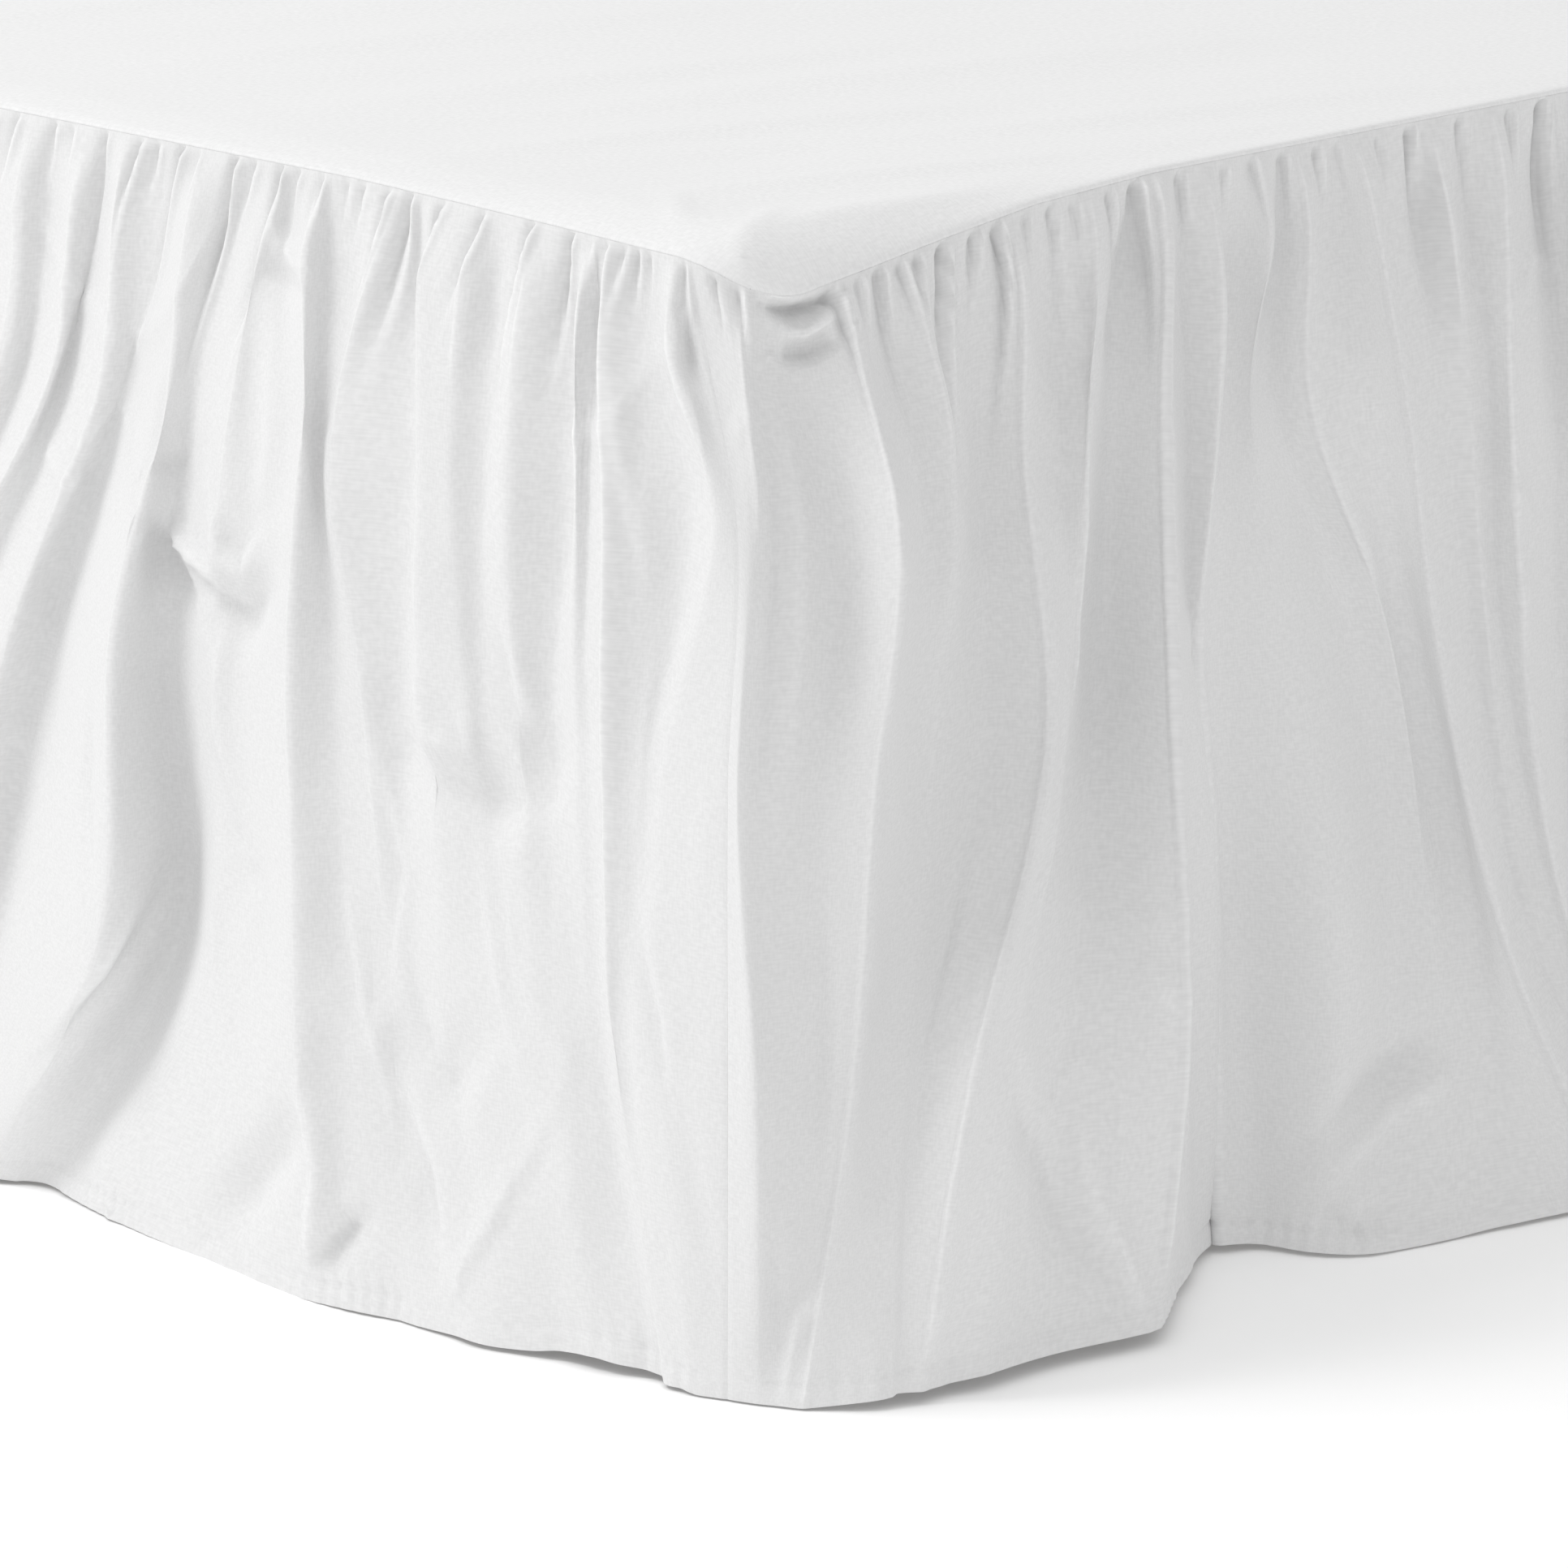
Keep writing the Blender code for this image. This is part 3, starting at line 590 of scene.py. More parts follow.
def hanging_cloth(places, depths):
    """Points of the strips at places counted in folds and at shares of the drop."""
    count = len(FOLD_LINES)
    index = np.clip(places.astype(int), 0, count - 2)
    share = (places - index)[:, None, None]
    numbers = np.arange(count)
    slopes = FOLD_POINTS[np.minimum(numbers + 1, count - 1)] - FOLD_POINTS[np.maximum(numbers - 1, 0)]
    slopes = slopes * (0.5 * (1.0 - FOLD_CRISP))[:, None, None]
    levels = hermite(FOLD_POINTS[index], slopes[index], FOLD_POINTS[index + 1], slopes[index + 1], share)
    along = between(FOLD_ALONG[index], FOLD_ALONG[index + 1], places - index)
    levels[:, 0] = [round_the_bed(value) for value in along]
    given = np.array(GIVEN_AT)
    widths = np.diff(given)
    steps = np.diff(levels, axis=1) / widths[None, :, None]
    weight = (widths[1:] / (widths[1:] + widths[:-1]))[None, :, None]
    inner = steps[:, :-1] * weight + steps[:, 1:] * (1.0 - weight)
    down = np.concatenate([steps[:, :1], inner, steps[:, -1:]], axis=1)
    level = np.clip(np.searchsorted(given, depths, side="left") - 1, 0, len(widths) - 1)
    reach = ((depths - given[level]) / widths[level])[None, :, None]
    width = widths[level][None, :, None]
    start_slope, end_slope = down[:, level] * width, down[:, level + 1] * width
    return hermite(levels[:, level], start_slope, levels[:, level + 1], end_slope, reach), along


# Columns of cloth, metres apart at a ridge's crest and in a valley: fine within DETAIL_REACH of the
# right foot corner, coarser elsewhere.
FINE_STEPS = (0.0010, 0.0024)
COARSE_STEPS = (0.0034, 0.0090)
STEP_GROWTH = 1.28
DETAIL_REACH = 0.58
# Columns nearer each other than this, in folds, are one.
SAME_COLUMN = 1e-4


def steps_from_crest(width, finest, widest):
    """Distances of the columns from a crest, ending at the full width."""
    steps = [0.0]
    step = finest
    while steps[-1] < width:
        steps.append(steps[-1] + step)
        step = min(step * STEP_GROWTH, widest)
    return [value * width / steps[-1] for value in steps]


def column_places(first, last):
    """Places of a strip's columns, counted in folds."""
    found = [first]
    for index in range(int(first), int(math.ceil(last))):
        width = np.linalg.norm(FOLD_POINTS[index + 1] - FOLD_POINTS[index], axis=1).max()
        middle = 0.5 * (FOLD_ALONG[index] + FOLD_ALONG[index + 1])
        finest, widest = FINE_STEPS if abs(middle) < DETAIL_REACH else COARSE_STEPS
        ridges = [not FOLD_NAMES[fold].startswith("V") for fold in (index, index + 1)]
        if ridges[0] == ridges[1]:
            half = steps_from_crest(width / 2.0, finest if ridges[0] else widest, widest)
            steps = half + [width - value for value in half[-2::-1]]
        else:
            steps = steps_from_crest(width, finest, widest)
            if ridges[1]:
                steps = [width - value for value in reversed(steps)]
        found += [index + value / width for value in steps if first < index + value / width < last]
    found.append(last)
    places = np.array(found)
    return places[np.concatenate([[True], np.diff(places) > SAME_COLUMN])]


# Rows of cloth from the seam down, metres: (down to, step).
ROW_STEPS = ((0.036, 0.0017), (0.250, 0.0042), (0.500, 0.0058), (SEAM_HEIGHT, 0.0016))


def row_depths():
    """Shares of the drop of a strip's rows: close at the gathers and the hem."""
    heights = [0.0]
    for limit, step in ROW_STEPS:
        count = round((limit - heights[-1]) / step)
        heights += list(np.linspace(heights[-1], limit, count + 1)[1:])
    return np.array(heights) / SEAM_HEIGHT


def surface_normals(grid):
    """Outward direction of the cloth at each grid point."""
    across = np.gradient(grid, axis=0)
    down = np.gradient(grid, axis=1)
    normals = np.cross(down, across)
    return normals / np.maximum(np.linalg.norm(normals, axis=2, keepdims=True), 1e-9)


def fold_place(name, offset=0.0, last=True):
    """Place of a named fold, counted in folds; the names of the left corner come first."""
    found = [index for index, other in enumerate(FOLD_NAMES) if other == name]
    return found[-1 if last else 0] + offset


# Pinches of the gathers round the right foot corner: dark tucks that start at the seam.
# along: from the corner, under zero on the foot side. slant: how far the tuck strays to the right
# of the folds over its length. All in millimetres.
PINCHES = (
    # along, slant, long, deep
    (-522, -4, 30, 3), (-506, -8, 34, 4), (-479, -3, 20, 3), (-466, -2, 18, 2), (-442, 0, 50, 3),
    (-416, -5, 34, 4), (-404, -3, 22, 3), (-386, -9, 60, 6), (-374, -3, 20, 2), (-348, -4, 60, 6),
    (-335, -5, 22, 3), (-316, -8, 60, 6), (-304, -3, 20, 3), (-287, -4, 26, 3), (-270, -2, 18, 2),
    (-258, -4, 22, 3), (-241, -4, 42, 5), (-226, -3, 60, 6), (-203, -10, 34, 4), (-176, -9, 34, 4),
    (-143, -10, 52, 6), (-117, -5, 46, 5), (-104, -1, 18, 2), (-94, 1, 20, 3), (-82, -4, 24, 3),
    (-74, -3, 22, 3), (-66, -3, 18, 2), (-42, 4, 64, 6), (-21, 2, 24, 4), (-6, 3, 22, 3),
    (54, 0, 30, 4), (70, 1, 26, 3), (84, -1, 36, 4), (97, 0, 24, 3), (109, -3, 22, 3),
    (128, -9, 60, 6), (149, -4, 26, 4), (163, -6, 60, 5), (182, 0, 24, 2), (200, 3, 26, 3),
    (214, 2, 22, 2), (238, 7, 30, 3), (258, 4, 60, 6), (288, 2, 26, 3), (318, 2, 22, 2),
    (338, 2, 24, 3), (361, 1, 26, 3), (384, 3, 24, 3), (398, 2, 22, 2), (428, 2, 24, 2),
    (452, 2, 34, 4), (488, 2, 28, 3), (524, 2, 26, 3), (550, 2, 60, 6), (583, 1, 30, 3),
)
# Section of a pinch, metres: gentle on its left side, steep on its right one, where a lip stands up.
PINCH_GENTLE = 0.0042
PINCH_STEEP = 0.0014
PINCH_LIP = 0.45
PINCH_LIP_AT = 0.0030
PINCH_LIP_WIDE = 0.0026
PINCH_DEEPER = 1.35
PINCH_REACH = 0.05
# Pinches of the other runs, drawn by chance between these sizes, millimetres.
PLAIN_PINCH_GAP = (12, 32)
PLAIN_PINCH = ((-8, 8), (18, 60), (2, 6))


def all_pinches():
    """Pinches round the whole bed, as rows of PINCHES in metres."""
    chance = random.Random(FOLD_SEED + 3)
    rows = list(PINCHES)
    right_head, left_head = BED_LENGTH * 1000.0, -(BED_WIDTH + BED_LENGTH) * 1000.0
    for start, stop in ((PINCHES[-1][0], right_head), (PINCHES[0][0], left_head)):
        way = 1.0 if stop > start else -1.0
        along = start + way * chance.uniform(*PLAIN_PINCH_GAP)
        while abs(stop - along) > PLAIN_PINCH_GAP[1]:
            rows.append((along,) + tuple(chance.uniform(*limits) for limits in PLAIN_PINCH))
            along += way * chance.uniform(*PLAIN_PINCH_GAP)
    return np.array(rows) / 1000.0


def pinch_depth(along, depths):
    """How far the pinches draw the cloth in, with the small lip that stands up beside each."""
    hang = depths[None, :] * SEAM_HEIGHT
    total = np.zeros((len(along), len(depths)))
    for place, slant, length, deep in all_pinches():
        near = np.abs(along - place) < PINCH_REACH
        if not near.any():
            continue
        gap = along[near, None] - place - slant * hang / length
        trough = np.exp(-(gap / np.where(gap < 0.0, PINCH_GENTLE, PINCH_STEEP)) ** 2)
        lip = PINCH_LIP * np.exp(-((gap - PINCH_LIP_AT) / PINCH_LIP_WIDE) ** 2)
        fade = np.exp(-(hang / length) ** 2)
        total[near] += PINCH_DEEPER * deep * fade * (trough - lip)
    return total


# Crests: sharp edges down a fold, steep on their left side and gentle on their right one.
CRESTS = (
    # fold, from, to (shares of the drop), high (millimetres)
    ("Ra", 0.03, 0.50, 0.8), ("Rb", 0.05, 0.50, 0.8), ("Rc", 0.03, 0.40, 1.2), ("Rd", 0.03, 0.60, 1.2),
    ("Re", 0.08, 0.40, 0.8), ("Rf", 0.02, 0.56, 2.0), ("Rg", 0.04, 0.25, 1.4), ("Rg", 0.44, 0.66, 0.8),
    ("Rh", 0.06, 0.40, 1.8), ("Ri", 0.04, 0.17, 1.6), ("Rj", 0.04, 0.15, 1.6), ("Rk", 0.02, 0.22, 1.2),
    ("Rl", 0.01, 0.72, 1.9), ("Rm", 0.03, 0.20, 0.8), ("Rn", 0.02, 0.24, 1.6), ("R1", 0.02, 1.02, 2.2),
    ("R3", 0.03, 0.20, 1.8), ("R4", 0.02, 1.00, 2.6), ("R5", 0.01, 0.46, 2.0), ("R6", 0.01, 0.97, 3.6),
    ("R7", 0.01, 0.22, 1.4), ("R9", 0.02, 0.42, 2.6), ("R10", 0.02, 0.96, 3.0), ("R11", 0.01, 0.20, 1.4),
    ("R12", 0.01, 0.50, 2.6), ("R13", 0.02, 0.50, 1.2),
)
CREST_STEEP = 0.0017
CREST_GENTLE = 0.0100
CREST_FADE = 0.06
# The plain ridges' crests: from, to, high.
PLAIN_CREST = (0.02, 0.75, 1.0)


def window(value, start, stop, fade):
    """1 between start and stop, falling softly to 0 past them."""
    rise = np.clip((value - start) / fade, 0.0, 1.0) * np.clip((stop - value) / fade, 0.0, 1.0)
    return rise * rise * (3.0 - 2.0 * rise)


def crest_height(places, arc, depths):
    """How far the crests stand out of the cloth."""
    rows = [(fold_place(name), start, stop, high) for name, start, stop, high in CRESTS]
    for index, name in enumerate(FOLD_NAMES):
        if name == "plain" or (index < fold_place("Va") and not name.startswith("V")):
            rows.append((index,) + PLAIN_CREST)
    total = np.zeros((len(places), len(depths)))
    for place, start, stop, high in rows:
        if not places[0] <= place <= places[-1]:
            continue
        column = int(np.argmin(np.abs(places - place)))
        gap = arc - arc[column]
        side = np.where(gap < 0.0, CREST_STEEP, CREST_GENTLE)
        shape = np.exp(-(gap / side) ** 2)
        total += high / 1000.0 * shape * window(depths, start - CREST_FADE / 2.0, stop, CREST_FADE)
    return total


# Listed creases: high (under zero for a trough), wide on the left and on the right side,
# millimetres; then the points, each as the fold it is counted from, folds past it, share of drop.
CREASES = (
    # foot side, from the left
    (4.6, 3, 8, ("Ve", -0.35, 0.34), ("Ve", 0.5, 0.37), ("Vf", -0.4, 0.395)),
    (-4.5, 12, 5, ("Rd", 0.5, 0.32), ("Ve", 0.0, 0.38), ("Ve", 0.6, 0.41)),
    (4.2, 9, 5, ("Re", -0.3, 0.30), ("Re", 0.15, 0.355), ("Vf", -0.2, 0.365), ("Vf", 0.15, 0.33)),
    (-5.5, 15, 11, ("Re", -0.1, 0.395), ("Vf", -0.1, 0.41), ("Vf", 0.5, 0.36)),
    (2.0, 3, 8, ("Vc", 0.2, 0.30), ("Vc", 0.6, 0.315), ("Rc", 0.2, 0.33)),
    (-3.5, 9, 12, ("Re", -0.3, 0.03), ("Re", 0.0, 0.09), ("Re", 0.3, 0.16), ("Re", 0.5, 0.26)),
    (2.6, 7, 4, ("Rf", -0.15, 0.09), ("Vf", -0.3, 0.075), ("Re", 0.4, 0.05)),
    (-2.0, 6, 8, ("Rf", -0.25, 0.11), ("Vf", -0.3, 0.10), ("Re", 0.35, 0.085)),
    (2.5, 8, 10, ("Re", 0.4, 0.05), ("Re", 0.8, 0.14), ("Vf", 0.1, 0.26), ("Vf", 0.0, 0.32)),
    (2.8, 5, 8, ("Rd", 0.4, 0.69), ("Rd", 0.2, 0.75), ("Rd", -0.15, 0.83)),
    (-4.0, 7, 10, ("Ve", -0.2, 0.66), ("Rd", 0.5, 0.74), ("Rd", 0.1, 0.83), ("Rd", -0.2, 0.88)),
    (-3.0, 7, 9, ("Rd", -0.3, 0.50), ("Rd", -0.35, 0.60), ("Rd", -0.2, 0.68)),
    (5.5, 5, 11, ("Rf", 0.1, 0.80), ("Rf", 0.5, 0.885), ("Rf", 0.3, 0.965)),
    (-7.5, 18, 14, ("Vf", 0.2, 0.97), ("Vf", 0.5, 0.90), ("Rf", 0.0, 0.82)),
    (-5.0, 10, 7, ("Rf", 0.45, 0.965), ("Vg", -0.1, 0.93), ("Vg", 0.3, 0.915)),
    (2.6, 4, 6, ("Rf", 0.4, 0.95), ("Vg", -0.1, 0.915), ("Vg", 0.4, 0.895)),
    (-6.0, 14, 6, ("Rg", 0.3, 0.80), ("Vh", 0.1, 0.86), ("Vh", 0.4, 0.93)),
    (2.2, 3, 8, ("Rh", -0.2, 0.965), ("Rh", 0.1, 0.94), ("Vi", -0.4, 0.855), ("Vj", -0.35, 0.78)),
    (-4.0, 16, 14, ("Rg", 0.1, 0.72), ("Vh", 0.5, 0.78), ("Ri", 0.0, 0.72)),
    (3.0, 14, 14, ("Rf", 0.6, 0.70), ("Vg", 0.5, 0.76), ("Rg", 0.6, 0.70)),
    (-3.5, 14, 12, ("Vg", 0.3, 0.06), ("Vg", 0.5, 0.14), ("Vg", 0.4, 0.24)),
    (-6.0, 15, 20, ("Vh", -0.4, 0.48), ("Rh", 0.2, 0.51), ("Vi", 0.0, 0.52), ("Rj", 0.2, 0.51),
     ("Rk", -0.3, 0.46)),
    (4.0, 12, 9, ("Rh", -0.3, 0.42), ("Rh", 0.2, 0.47), ("Ri", 0.0, 0.475), ("Ri", 0.4, 0.43)),
    (2.4, 5, 8, ("Rj", -0.2, 0.36), ("Rj", 0.2, 0.42), ("Vj", -0.2, 0.46)),
    (-2.5, 8, 8, ("Vi", 0.4, 0.36), ("Rj", 0.0, 0.44), ("Vj", -0.4, 0.475)),
    (2.2, 3, 7, ("Rg", 0.1, 0.50), ("Rg", 0.6, 0.545), ("Vh", 0.05, 0.60), ("Rg", 0.4, 0.69)),
    (-4.0, 12, 9, ("Vj", 0.4, 0.07), ("Vj", 0.5, 0.20), ("Vj", 0.3, 0.32)),
    (4.0, 14, 12, ("Vj", -0.1, 0.50), ("Vj", 0.0, 0.72), ("Vj", 0.0, 1.0)),
    (2.0, 4, 8, ("Vm", -0.15, 0.55), ("Rm", 0.0, 0.66), ("Rm", 0.4, 0.82)),
    (-2.5, 6, 9, ("Vm", 0.1, 0.60), ("Rm", 0.15, 0.72), ("V_join", -0.4, 0.86)),
    (3.0, 5, 5, ("Rm", 0.15, 0.005), ("V_join", -0.3, 0.04), ("Rm", 0.15, 0.09)),
    (-3.5, 5, 6, ("V_join", -0.1, 0.005), ("V_join", 0.0, 0.045), ("V_join", -0.4, 0.10)),
    (3.2, 4, 7, ("Rn", -0.1, 0.11), ("V_join", -0.4, 0.17), ("Vm", 0.2, 0.235), ("Vm", -0.15, 0.30)),
    (-4.0, 9, 6, ("V_join", 0.1, 0.13), ("Vm", -0.1, 0.21), ("Vl", 0.3, 0.30)),
    (2.0, 5, 8, ("Vl", 0.6, 0.33), ("Vl", 0.7, 0.44), ("Vm", -0.2, 0.54)),
    (-3.0, 8, 12, ("Rd", 0.0, 0.20), ("Rd", 0.3, 0.28), ("Ve", 0.0, 0.30)),
    (2.4, 4, 9, ("Re", 0.3, 0.42), ("Re", 0.2, 0.52), ("Vf", 0.0, 0.62)),
    (-2.4, 8, 10, ("Re", 0.0, 0.56), ("Vf", 0.2, 0.64), ("Vf", 0.6, 0.74)),
    (2.0, 3, 8, ("Vg", 0.1, 0.62), ("Vg", 0.4, 0.72), ("Rg", 0.0, 0.84)),
    (-2.2, 6, 9, ("Vh", 0.0, 0.66), ("Vh", 0.3, 0.74), ("Rh", 0.2, 0.84)),
    (1.8, 4, 8, ("Ri", 0.2, 0.58), ("Ri", 0.5, 0.68), ("Vi", 0.5, 0.78)),
    (2.2, 4, 9, ("Rl", 0.3, 0.10), ("Rl", 0.5, 0.18), ("Vl", 0.2, 0.28)),
    (-2.2, 7, 7, ("Vl", 0.2, 0.60), ("Vl", 0.1, 0.72), ("Vl", 0.4, 0.84)),
    # corner
    (-10.5, 4, 6, ("Rn", 0.4, 0.008), ("V0", 0.0, 0.018), ("V0", 0.5, 0.016), ("R1", -0.02, 0.006)),
    (4.0, 3, 3, ("Rn", 0.8, 0.036), ("V0", 0.2, 0.038), ("V0", 0.7, 0.026)),
    (-6.5, 4, 9, ("Rn", 0.75, 0.056), ("V0", 0.2, 0.056), ("V0", 0.7, 0.046)),
    (2.6, 8, 8, ("V0", -0.40, 0.10), ("V0", -0.40, 0.25), ("V0", -0.38, 0.48)),
    (-2.6, 6, 8, ("V0", -0.62, 0.12), ("V0", -0.65, 0.45)),
    (-4.0, 10, 12, ("V0", 0.25, 0.12), ("V0", 0.25, 0.25), ("V0", 0.20, 0.40)),
    (2.6, 4, 8, ("V0", -0.1, 1.0), ("V0", 0.35, 0.92), ("R1", 0.0, 0.895)),
    (-3.0, 8, 5, ("V0", -0.4, 0.84), ("V0", -0.3, 0.93), ("V0", -0.2, 1.0)),
    (2.0, 5, 9, ("V0", 0.35, 0.52), ("V0", 0.55, 0.66), ("V0", 0.65, 0.80)),
    # long side, from the corner
    (1.8, 3, 5, ("V4", 0.2, 0.04), ("V4", 0.3, 0.09), ("V4", 0.45, 0.13)),
    (-4.0, 4, 6, ("R3", 0.35, 0.03), ("R3", 0.30, 0.10), ("R3", 0.35, 0.22)),
    (-4.0, 12, 10, ("V4", 0.7, 0.04), ("V4", 0.6, 0.12), ("V4", 0.5, 0.24)),
    (-4.0, 10, 10, ("V5", 0.1, 0.03), ("V5", 0.0, 0.09), ("V5", -0.2, 0.16)),
    (-4.0, 14, 9, ("R5", -0.5, 0.70), ("V5", -0.25, 0.82), ("V5", 0.15, 0.90), ("R6", -0.6, 0.96)),
    (4.0, 5, 9, ("V5", 0.0, 0.76), ("V5", 0.3, 0.88), ("R6", -0.45, 0.94), ("R6", -0.25, 0.995)),
    (2.0, 4, 9, ("V3", 0.0, 0.50), ("V3", 0.2, 0.62), ("V3", 0.0, 0.74)),
    (2.0, 5, 9, ("V4", 0.4, 0.40), ("V4", 0.6, 0.52), ("V4", 0.5, 0.66)),
    (-2.6, 9, 9, ("R5", 0.4, 0.50), ("R5", 0.2, 0.62), ("R5", -0.1, 0.72)),
    (2.5, 6, 9, ("V5", 0.5, 0.67), ("R6", -0.1, 0.72)),
    (-6.0, 16, 16, ("R7", 0.6, 0.05), ("V7", 0.2, 0.13), ("V7", 0.4, 0.24), ("R8", 0.2, 0.36)),
    (4.5, 5, 12, ("R8", 0.1, 0.94), ("V8", 0.1, 0.885), ("R9", 0.4, 0.855)),
    (-5.0, 14, 9, ("R8", -0.2, 0.90), ("V8", -0.2, 0.85), ("R9", -0.2, 0.81)),
    (-4.0, 8, 6, ("R8", 0.05, 0.955), ("V8", -0.25, 0.975), ("V8", 0.3, 0.965)),
    (11.0, 18, 18, ("V6", 0.0, 0.42), ("V6", 0.0, 0.70), ("V6", 0.0, 1.0)),
    (-5.0, 16, 7, ("V9", 0.2, 0.26), ("V9", 0.3, 0.58), ("V9", 0.2, 0.92)),
    (-3.0, 8, 9, ("V10", 0.2, 0.02), ("V10", 0.0, 0.10), ("V10", 0.1, 0.20)),
    (-4.0, 9, 10, ("V12", 0.0, 0.02), ("V12", 0.0, 0.12), ("V12", 0.0, 0.28)),
)
# Every crease is this many times as high or deep as its row says.
CREASE_DEPTH = 1.3
# Points between two given ones, and how many widths a crease reaches.
CREASE_POINTS = 60
CREASE_REACH = 3.0


def grid_points(grid, columns, rows):
    """Points of the cloth between its grid lines."""
    column = np.clip(columns.astype(int), 0, grid.shape[0] - 2)
    row = np.clip(rows.astype(int), 0, grid.shape[1] - 2)
    across, down = (columns - column)[:, None], (rows - row)[:, None]
    near = between(grid[column, row], grid[column, row + 1], down)
    far = between(grid[column + 1, row], grid[column + 1, row + 1], down)
    return between(near, far, across)


def crease_rise(places, grid, normals, depths):
    """How far the listed creases lift or sink the cloth."""
    total = np.zeros(grid.shape[:2])
    for high, wide_left, wide_right, *points in CREASES:
        route = np.array([(fold_place(name, beyond), depth) for name, beyond, depth in points])
        reach = CREASE_REACH * max(wide_left, wide_right) / 1000.0
        if not places[0] <= route[0, 0] <= places[-1]:
            continue
        dense = np.linspace(0.0, len(route) - 1.0, CREASE_POINTS * (len(route) - 1) + 1)
        across = np.interp(dense, np.arange(len(route)), route[:, 0])
        down = np.interp(dense, np.arange(len(route)), route[:, 1])
        columns = np.interp(across, places, np.arange(len(places)))
        rows = np.interp(down, depths, np.arange(len(depths)))
        line = grid_points(grid, columns, rows)
        low, top = line.min(axis=0) - reach, line.max(axis=0) + reach
        near = np.argwhere(((grid > low) & (grid < top)).all(axis=2))
        spots = grid[near[:, 0], near[:, 1]]
        offsets = spots[:, None, :] - line[None, :, :]
        gaps = np.linalg.norm(offsets, axis=2)
        nearest = gaps.argmin(axis=1)
        tangents = np.gradient(line, axis=0)[nearest]
        facing = np.cross(normals[near[:, 0], near[:, 1]], tangents)
        on_right = (facing * offsets[np.arange(len(near)), nearest]).sum(axis=1) > 0.0
        wide = np.where(on_right, wide_right, wide_left) / 1000.0
        fade = soft_ends(nearest / (len(line) - 1.0), 0.03, 0.6)
        profile = np.exp(-(gaps[np.arange(len(near)), nearest] / wide) ** 2)
        total[near[:, 0], near[:, 1]] += CREASE_DEPTH * high / 1000.0 * fade * profile
    return total


# Hem and joining seam, metres: the hem's depth, its double cloth, its stitched groove and puckers.
HEM_DEPTH = 0.010
HEM_STEP = 0.0006
HEM_STITCH = 0.0005
STITCH_WIDE = 0.0018
STEP_STEEP = 3.0
PUCKER = 0.0005
PUCKER_PITCH = 0.0105
PUCKER_ABOVE = 0.008
PUCKER_TALL = 0.010
# Waves per metre that shift the puckers and gather them in groups.
PUCKER_SHIFT = 29.0
PUCKER_GROUPS = 17.0
JOIN_GROOVE = 0.0007
JOIN_WIDE = 0.0014
# Distances over which the relief grows from the top seam and from a joining seam.
TOP_STILL = 0.006
JOIN_STILL = 0.012


def hem_relief(arc, depths):
    """The hem's double thickness, its stitched groove and the puckers that the stitching draws."""
    above_edge = (1.0 - depths)[None, :] * SEAM_HEIGHT
    from_stitch = (above_edge - HEM_DEPTH) / STITCH_WIDE
    doubled = HEM_STEP / (1.0 + np.exp(from_stitch * STEP_STEEP))
    groove = -HEM_STITCH * np.exp(-from_stitch ** 2)
    wobble = np.sin(2.0 * np.pi * arc / PUCKER_PITCH + 4.0 * np.sin(arc * PUCKER_SHIFT))
    wobble = wobble * np.sin(arc * PUCKER_GROUPS) ** 3
    pucker = PUCKER * wobble * np.exp(-((above_edge - PUCKER_ABOVE) / PUCKER_TALL) ** 2)
    return doubled + groove + pucker


# Unevenness of the hanging cotton, metres high at waves per metre across and down; crumples are
# short sharp creases that stand in patches.
WAVES = ((0.0016, 20.0, 8.0), (0.0008, 46.0, 26.0), (0.0003, 110.0, 70.0))
CRUMPLE_HIGH = 0.0021
CRUMPLE_SHARP = 7.0
# Crumples per metre, how far they slant with the height, and their number down against across.
CRUMPLE_SCALE = 13.0
CRUMPLE_SLANT = (0.5, 0.4)
CRUMPLE_DOWN = 0.7
# Patches of crumples per metre, how suddenly a patch begins and how much of the cloth they take.
CRUMPLE_PATCH = 5.0
PATCH_STEEP = 3.0
PATCH_SHARE = 0.4


def cloth_unevenness(grid):
    """Slow waves and patches of crumples, drawn out along the folds."""
    rise = np.zeros(grid.shape[:2])
    lean_x, lean_y = CRUMPLE_SLANT
    for column, row in np.ndindex(rise.shape):
        x, y, z = grid[column, row]
        for high, across, down in WAVES:
            rise[column, row] += high * noise.noise((x * across, y * across, z * down + across))
        slanted_x, slanted_y = (x + lean_x * z) * CRUMPLE_SCALE, (y - lean_y * z) * CRUMPLE_SCALE
        crumple = noise.noise((slanted_x, slanted_y, z * CRUMPLE_SCALE * CRUMPLE_DOWN))
        ridge = max(0.0, 1.0 - 2.0 * abs(crumple)) ** CRUMPLE_SHARP
        patch = noise.noise((x * CRUMPLE_PATCH, y * CRUMPLE_PATCH, z * CRUMPLE_PATCH + 4.0))
        inside = min(max(patch * PATCH_STEEP + PATCH_SHARE, 0.0), 1.0)
        rise[column, row] += CRUMPLE_HIGH * ridge * inside
    return rise


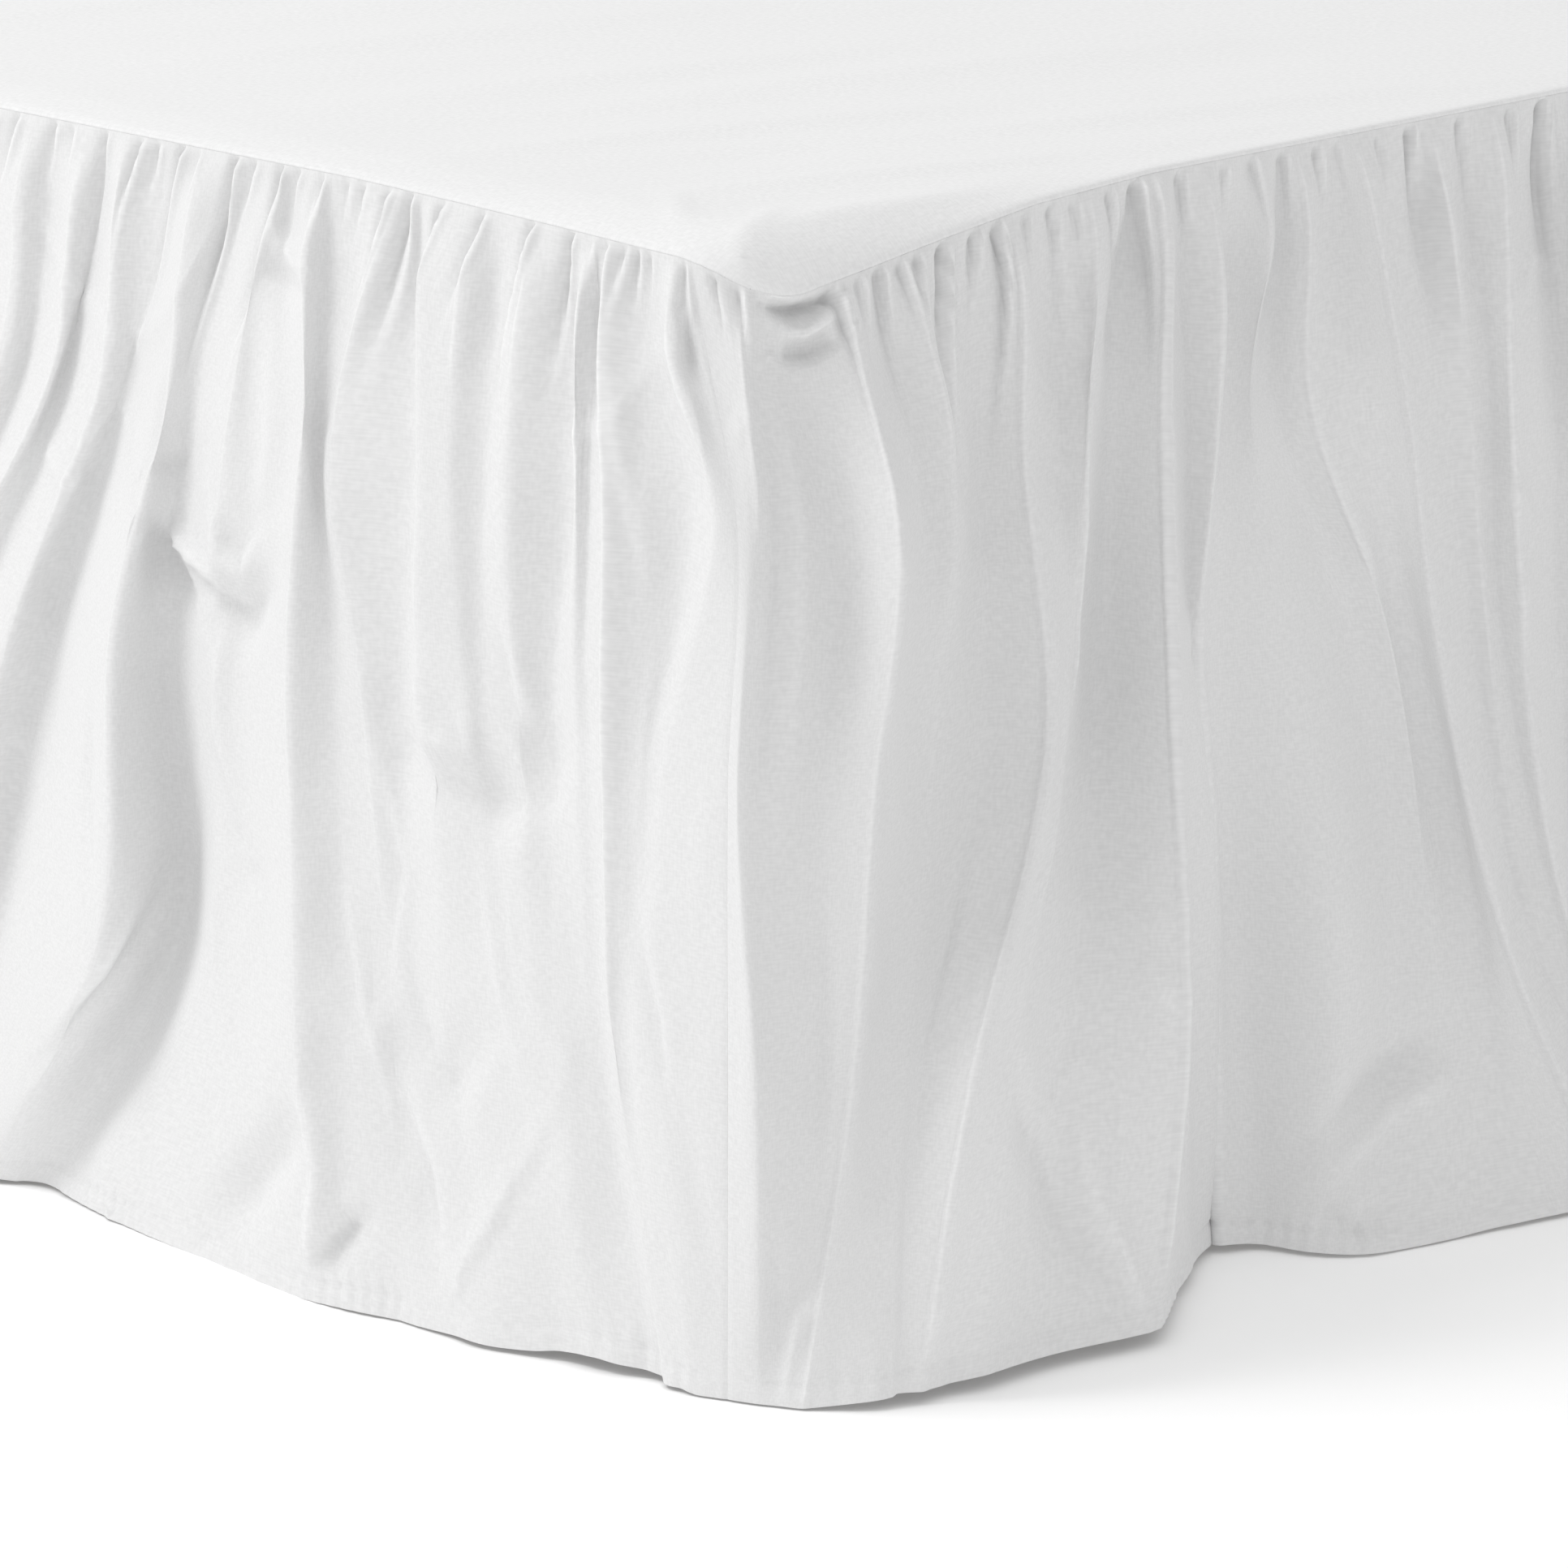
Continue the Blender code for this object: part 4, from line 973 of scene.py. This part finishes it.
def strip(first, last, joined):
    """One gathered strip between two places counted in folds; joined tells which ends are seamed."""
    places = column_places(first, last)
    depths = row_depths()
    grid, along = hanging_cloth(places, depths)
    normals = surface_normals(grid)
    widths = np.linalg.norm(np.diff(grid, axis=0), axis=2)
    arc = np.concatenate([np.zeros((1, len(depths))), np.cumsum(widths, axis=0)])
    rise = crest_height(places, arc, depths) - pinch_depth(along, depths)
    rise += crease_rise(places, grid, normals, depths) + cloth_unevenness(grid)
    rise += hem_relief(arc, depths)
    hang = depths * SEAM_HEIGHT
    rise *= np.clip(hang / TOP_STILL, 0.0, 1.0)[None, :]
    groove = JOIN_GROOVE * np.clip(depths / 0.5, 0.1, 1.0)
    for seamed, gap in zip(joined, (arc, arc[-1] - arc)):
        if seamed:
            rise = rise * np.clip(gap / JOIN_STILL, 0.0, 1.0) - groove * np.exp(-(gap / JOIN_WIDE) ** 2)
    grid = grid + normals * rise[..., None]
    flat = np.stack(np.meshgrid(arc.max(axis=1), hang, indexing="ij"), axis=-1)
    return grid, flat


# The strips' percale, with the painted crest highlight and painted valley shade.
percale = cotton_percale("cotton_percale_gathered", True)
SEAM_PLACES = [fold_place(STRIP_SEAM, last=False), fold_place(STRIP_SEAM)]
STRIPS = (
    # name, CAD node, first place, last place, ends that are seamed, flat width
    ("cotton_strip_left", "ruffle_left", 0.0, SEAM_PLACES[0], (False, True), 2.90),
    ("cotton_strip_foot", "ruffle_foot", SEAM_PLACES[0], SEAM_PLACES[1], (True, True), 1.24),
    ("cotton_strip_right", "ruffle_right", SEAM_PLACES[1], len(FOLD_LINES) - 1.0, (True, False), 2.90),
)
for name, cad_node, first, last, joined, flat_width in STRIPS:
    strip_grid, strip_flat = strip(first, last, joined)
    piece = sheet_mesh(name, strip_grid, strip_flat, True)
    piece.data.materials.append(percale)
    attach(piece, "root")
    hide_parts(cad_node)


# ---- Floor, light and camera ----------------------------------------------------------------
# A plain white floor under soft daylight: a large window-like light high on the left and a weaker
# one low on the left, both diffuse, so that the folds show as soft greys.

def floor_paint():
    """Matt white floor, lit until it reads as plain white."""
    material, tree, shader = new_material("matt_white_floor", 0.95, 0.1)
    place = node(tree, "ShaderNodeTexCoord", {})
    cloud = node(tree, "ShaderNodeTexNoise", {"Scale": 0.6, "Detail": 2.0}, ("Vector", place, "Object"))
    ramp = colour_ramp(tree, cloud, "Fac", ((0.3, "#FDFDFD"), (0.7, "#FFFFFF")))
    tree.links.new(ramp.outputs["Color"], shader.inputs["Base Color"])
    shader.inputs["Emission Color"].default_value = linear("#FFFFFF")
    shader.inputs["Emission Strength"].default_value = 0.12
    return material


def floor():
    """A square of plain floor, 24 m wide."""
    half = 12.0
    corners = [(-half, -half, 0.0), (half, -half, 0.0), (half, half, 0.0), (-half, half, 0.0)]
    mesh = bpy.data.meshes.new("floor")
    mesh.from_pydata(corners, [], [(0, 1, 2, 3)])
    mesh.materials.append(floor_paint())
    made = bpy.data.objects.new("floor", mesh)
    bpy.context.scene.collection.objects.link(made)
    return made


def soft_light(name, place, aim, size, power):
    """A square diffuse light of a size in metres and a power in watts, turned to a point."""
    light = bpy.data.lights.new(name, "AREA")
    light.size = size
    light.energy = power
    made = bpy.data.objects.new(name, light)
    bpy.context.scene.collection.objects.link(made)
    made.location = place
    made.rotation_euler = (Vector(aim) - Vector(place)).to_track_quat("-Z", "Y").to_euler()


floor()
soft_light("sky_window", (-2.3, -3.3, 5.0), (0.2, -0.8, 0.3), 2.4, 122.0)
soft_light("window_left", (-4.2, -5.6, 2.4), (0.3, -0.9, 0.3), 2.6, 8.0)

world = bpy.data.worlds.new("daylight")
world.use_nodes = True
world.node_tree.nodes["Background"].inputs["Color"].default_value = linear("#FFFFFF")
world.node_tree.nodes["Background"].inputs["Strength"].default_value = 0.70
bpy.context.scene.world = world
bpy.context.scene.view_settings.view_transform = "Standard"

lens = bpy.data.cameras.new("camera")
lens.sensor_width = 36.0
lens.lens = 260.87
lens.clip_end = 100.0
camera = bpy.data.objects.new("camera", lens)
camera.location = (4.071, -4.542, 1.538)
camera.rotation_euler = (math.radians(76.0), 0.0, math.radians(45.0))
bpy.context.scene.collection.objects.link(camera)
bpy.context.scene.camera = camera
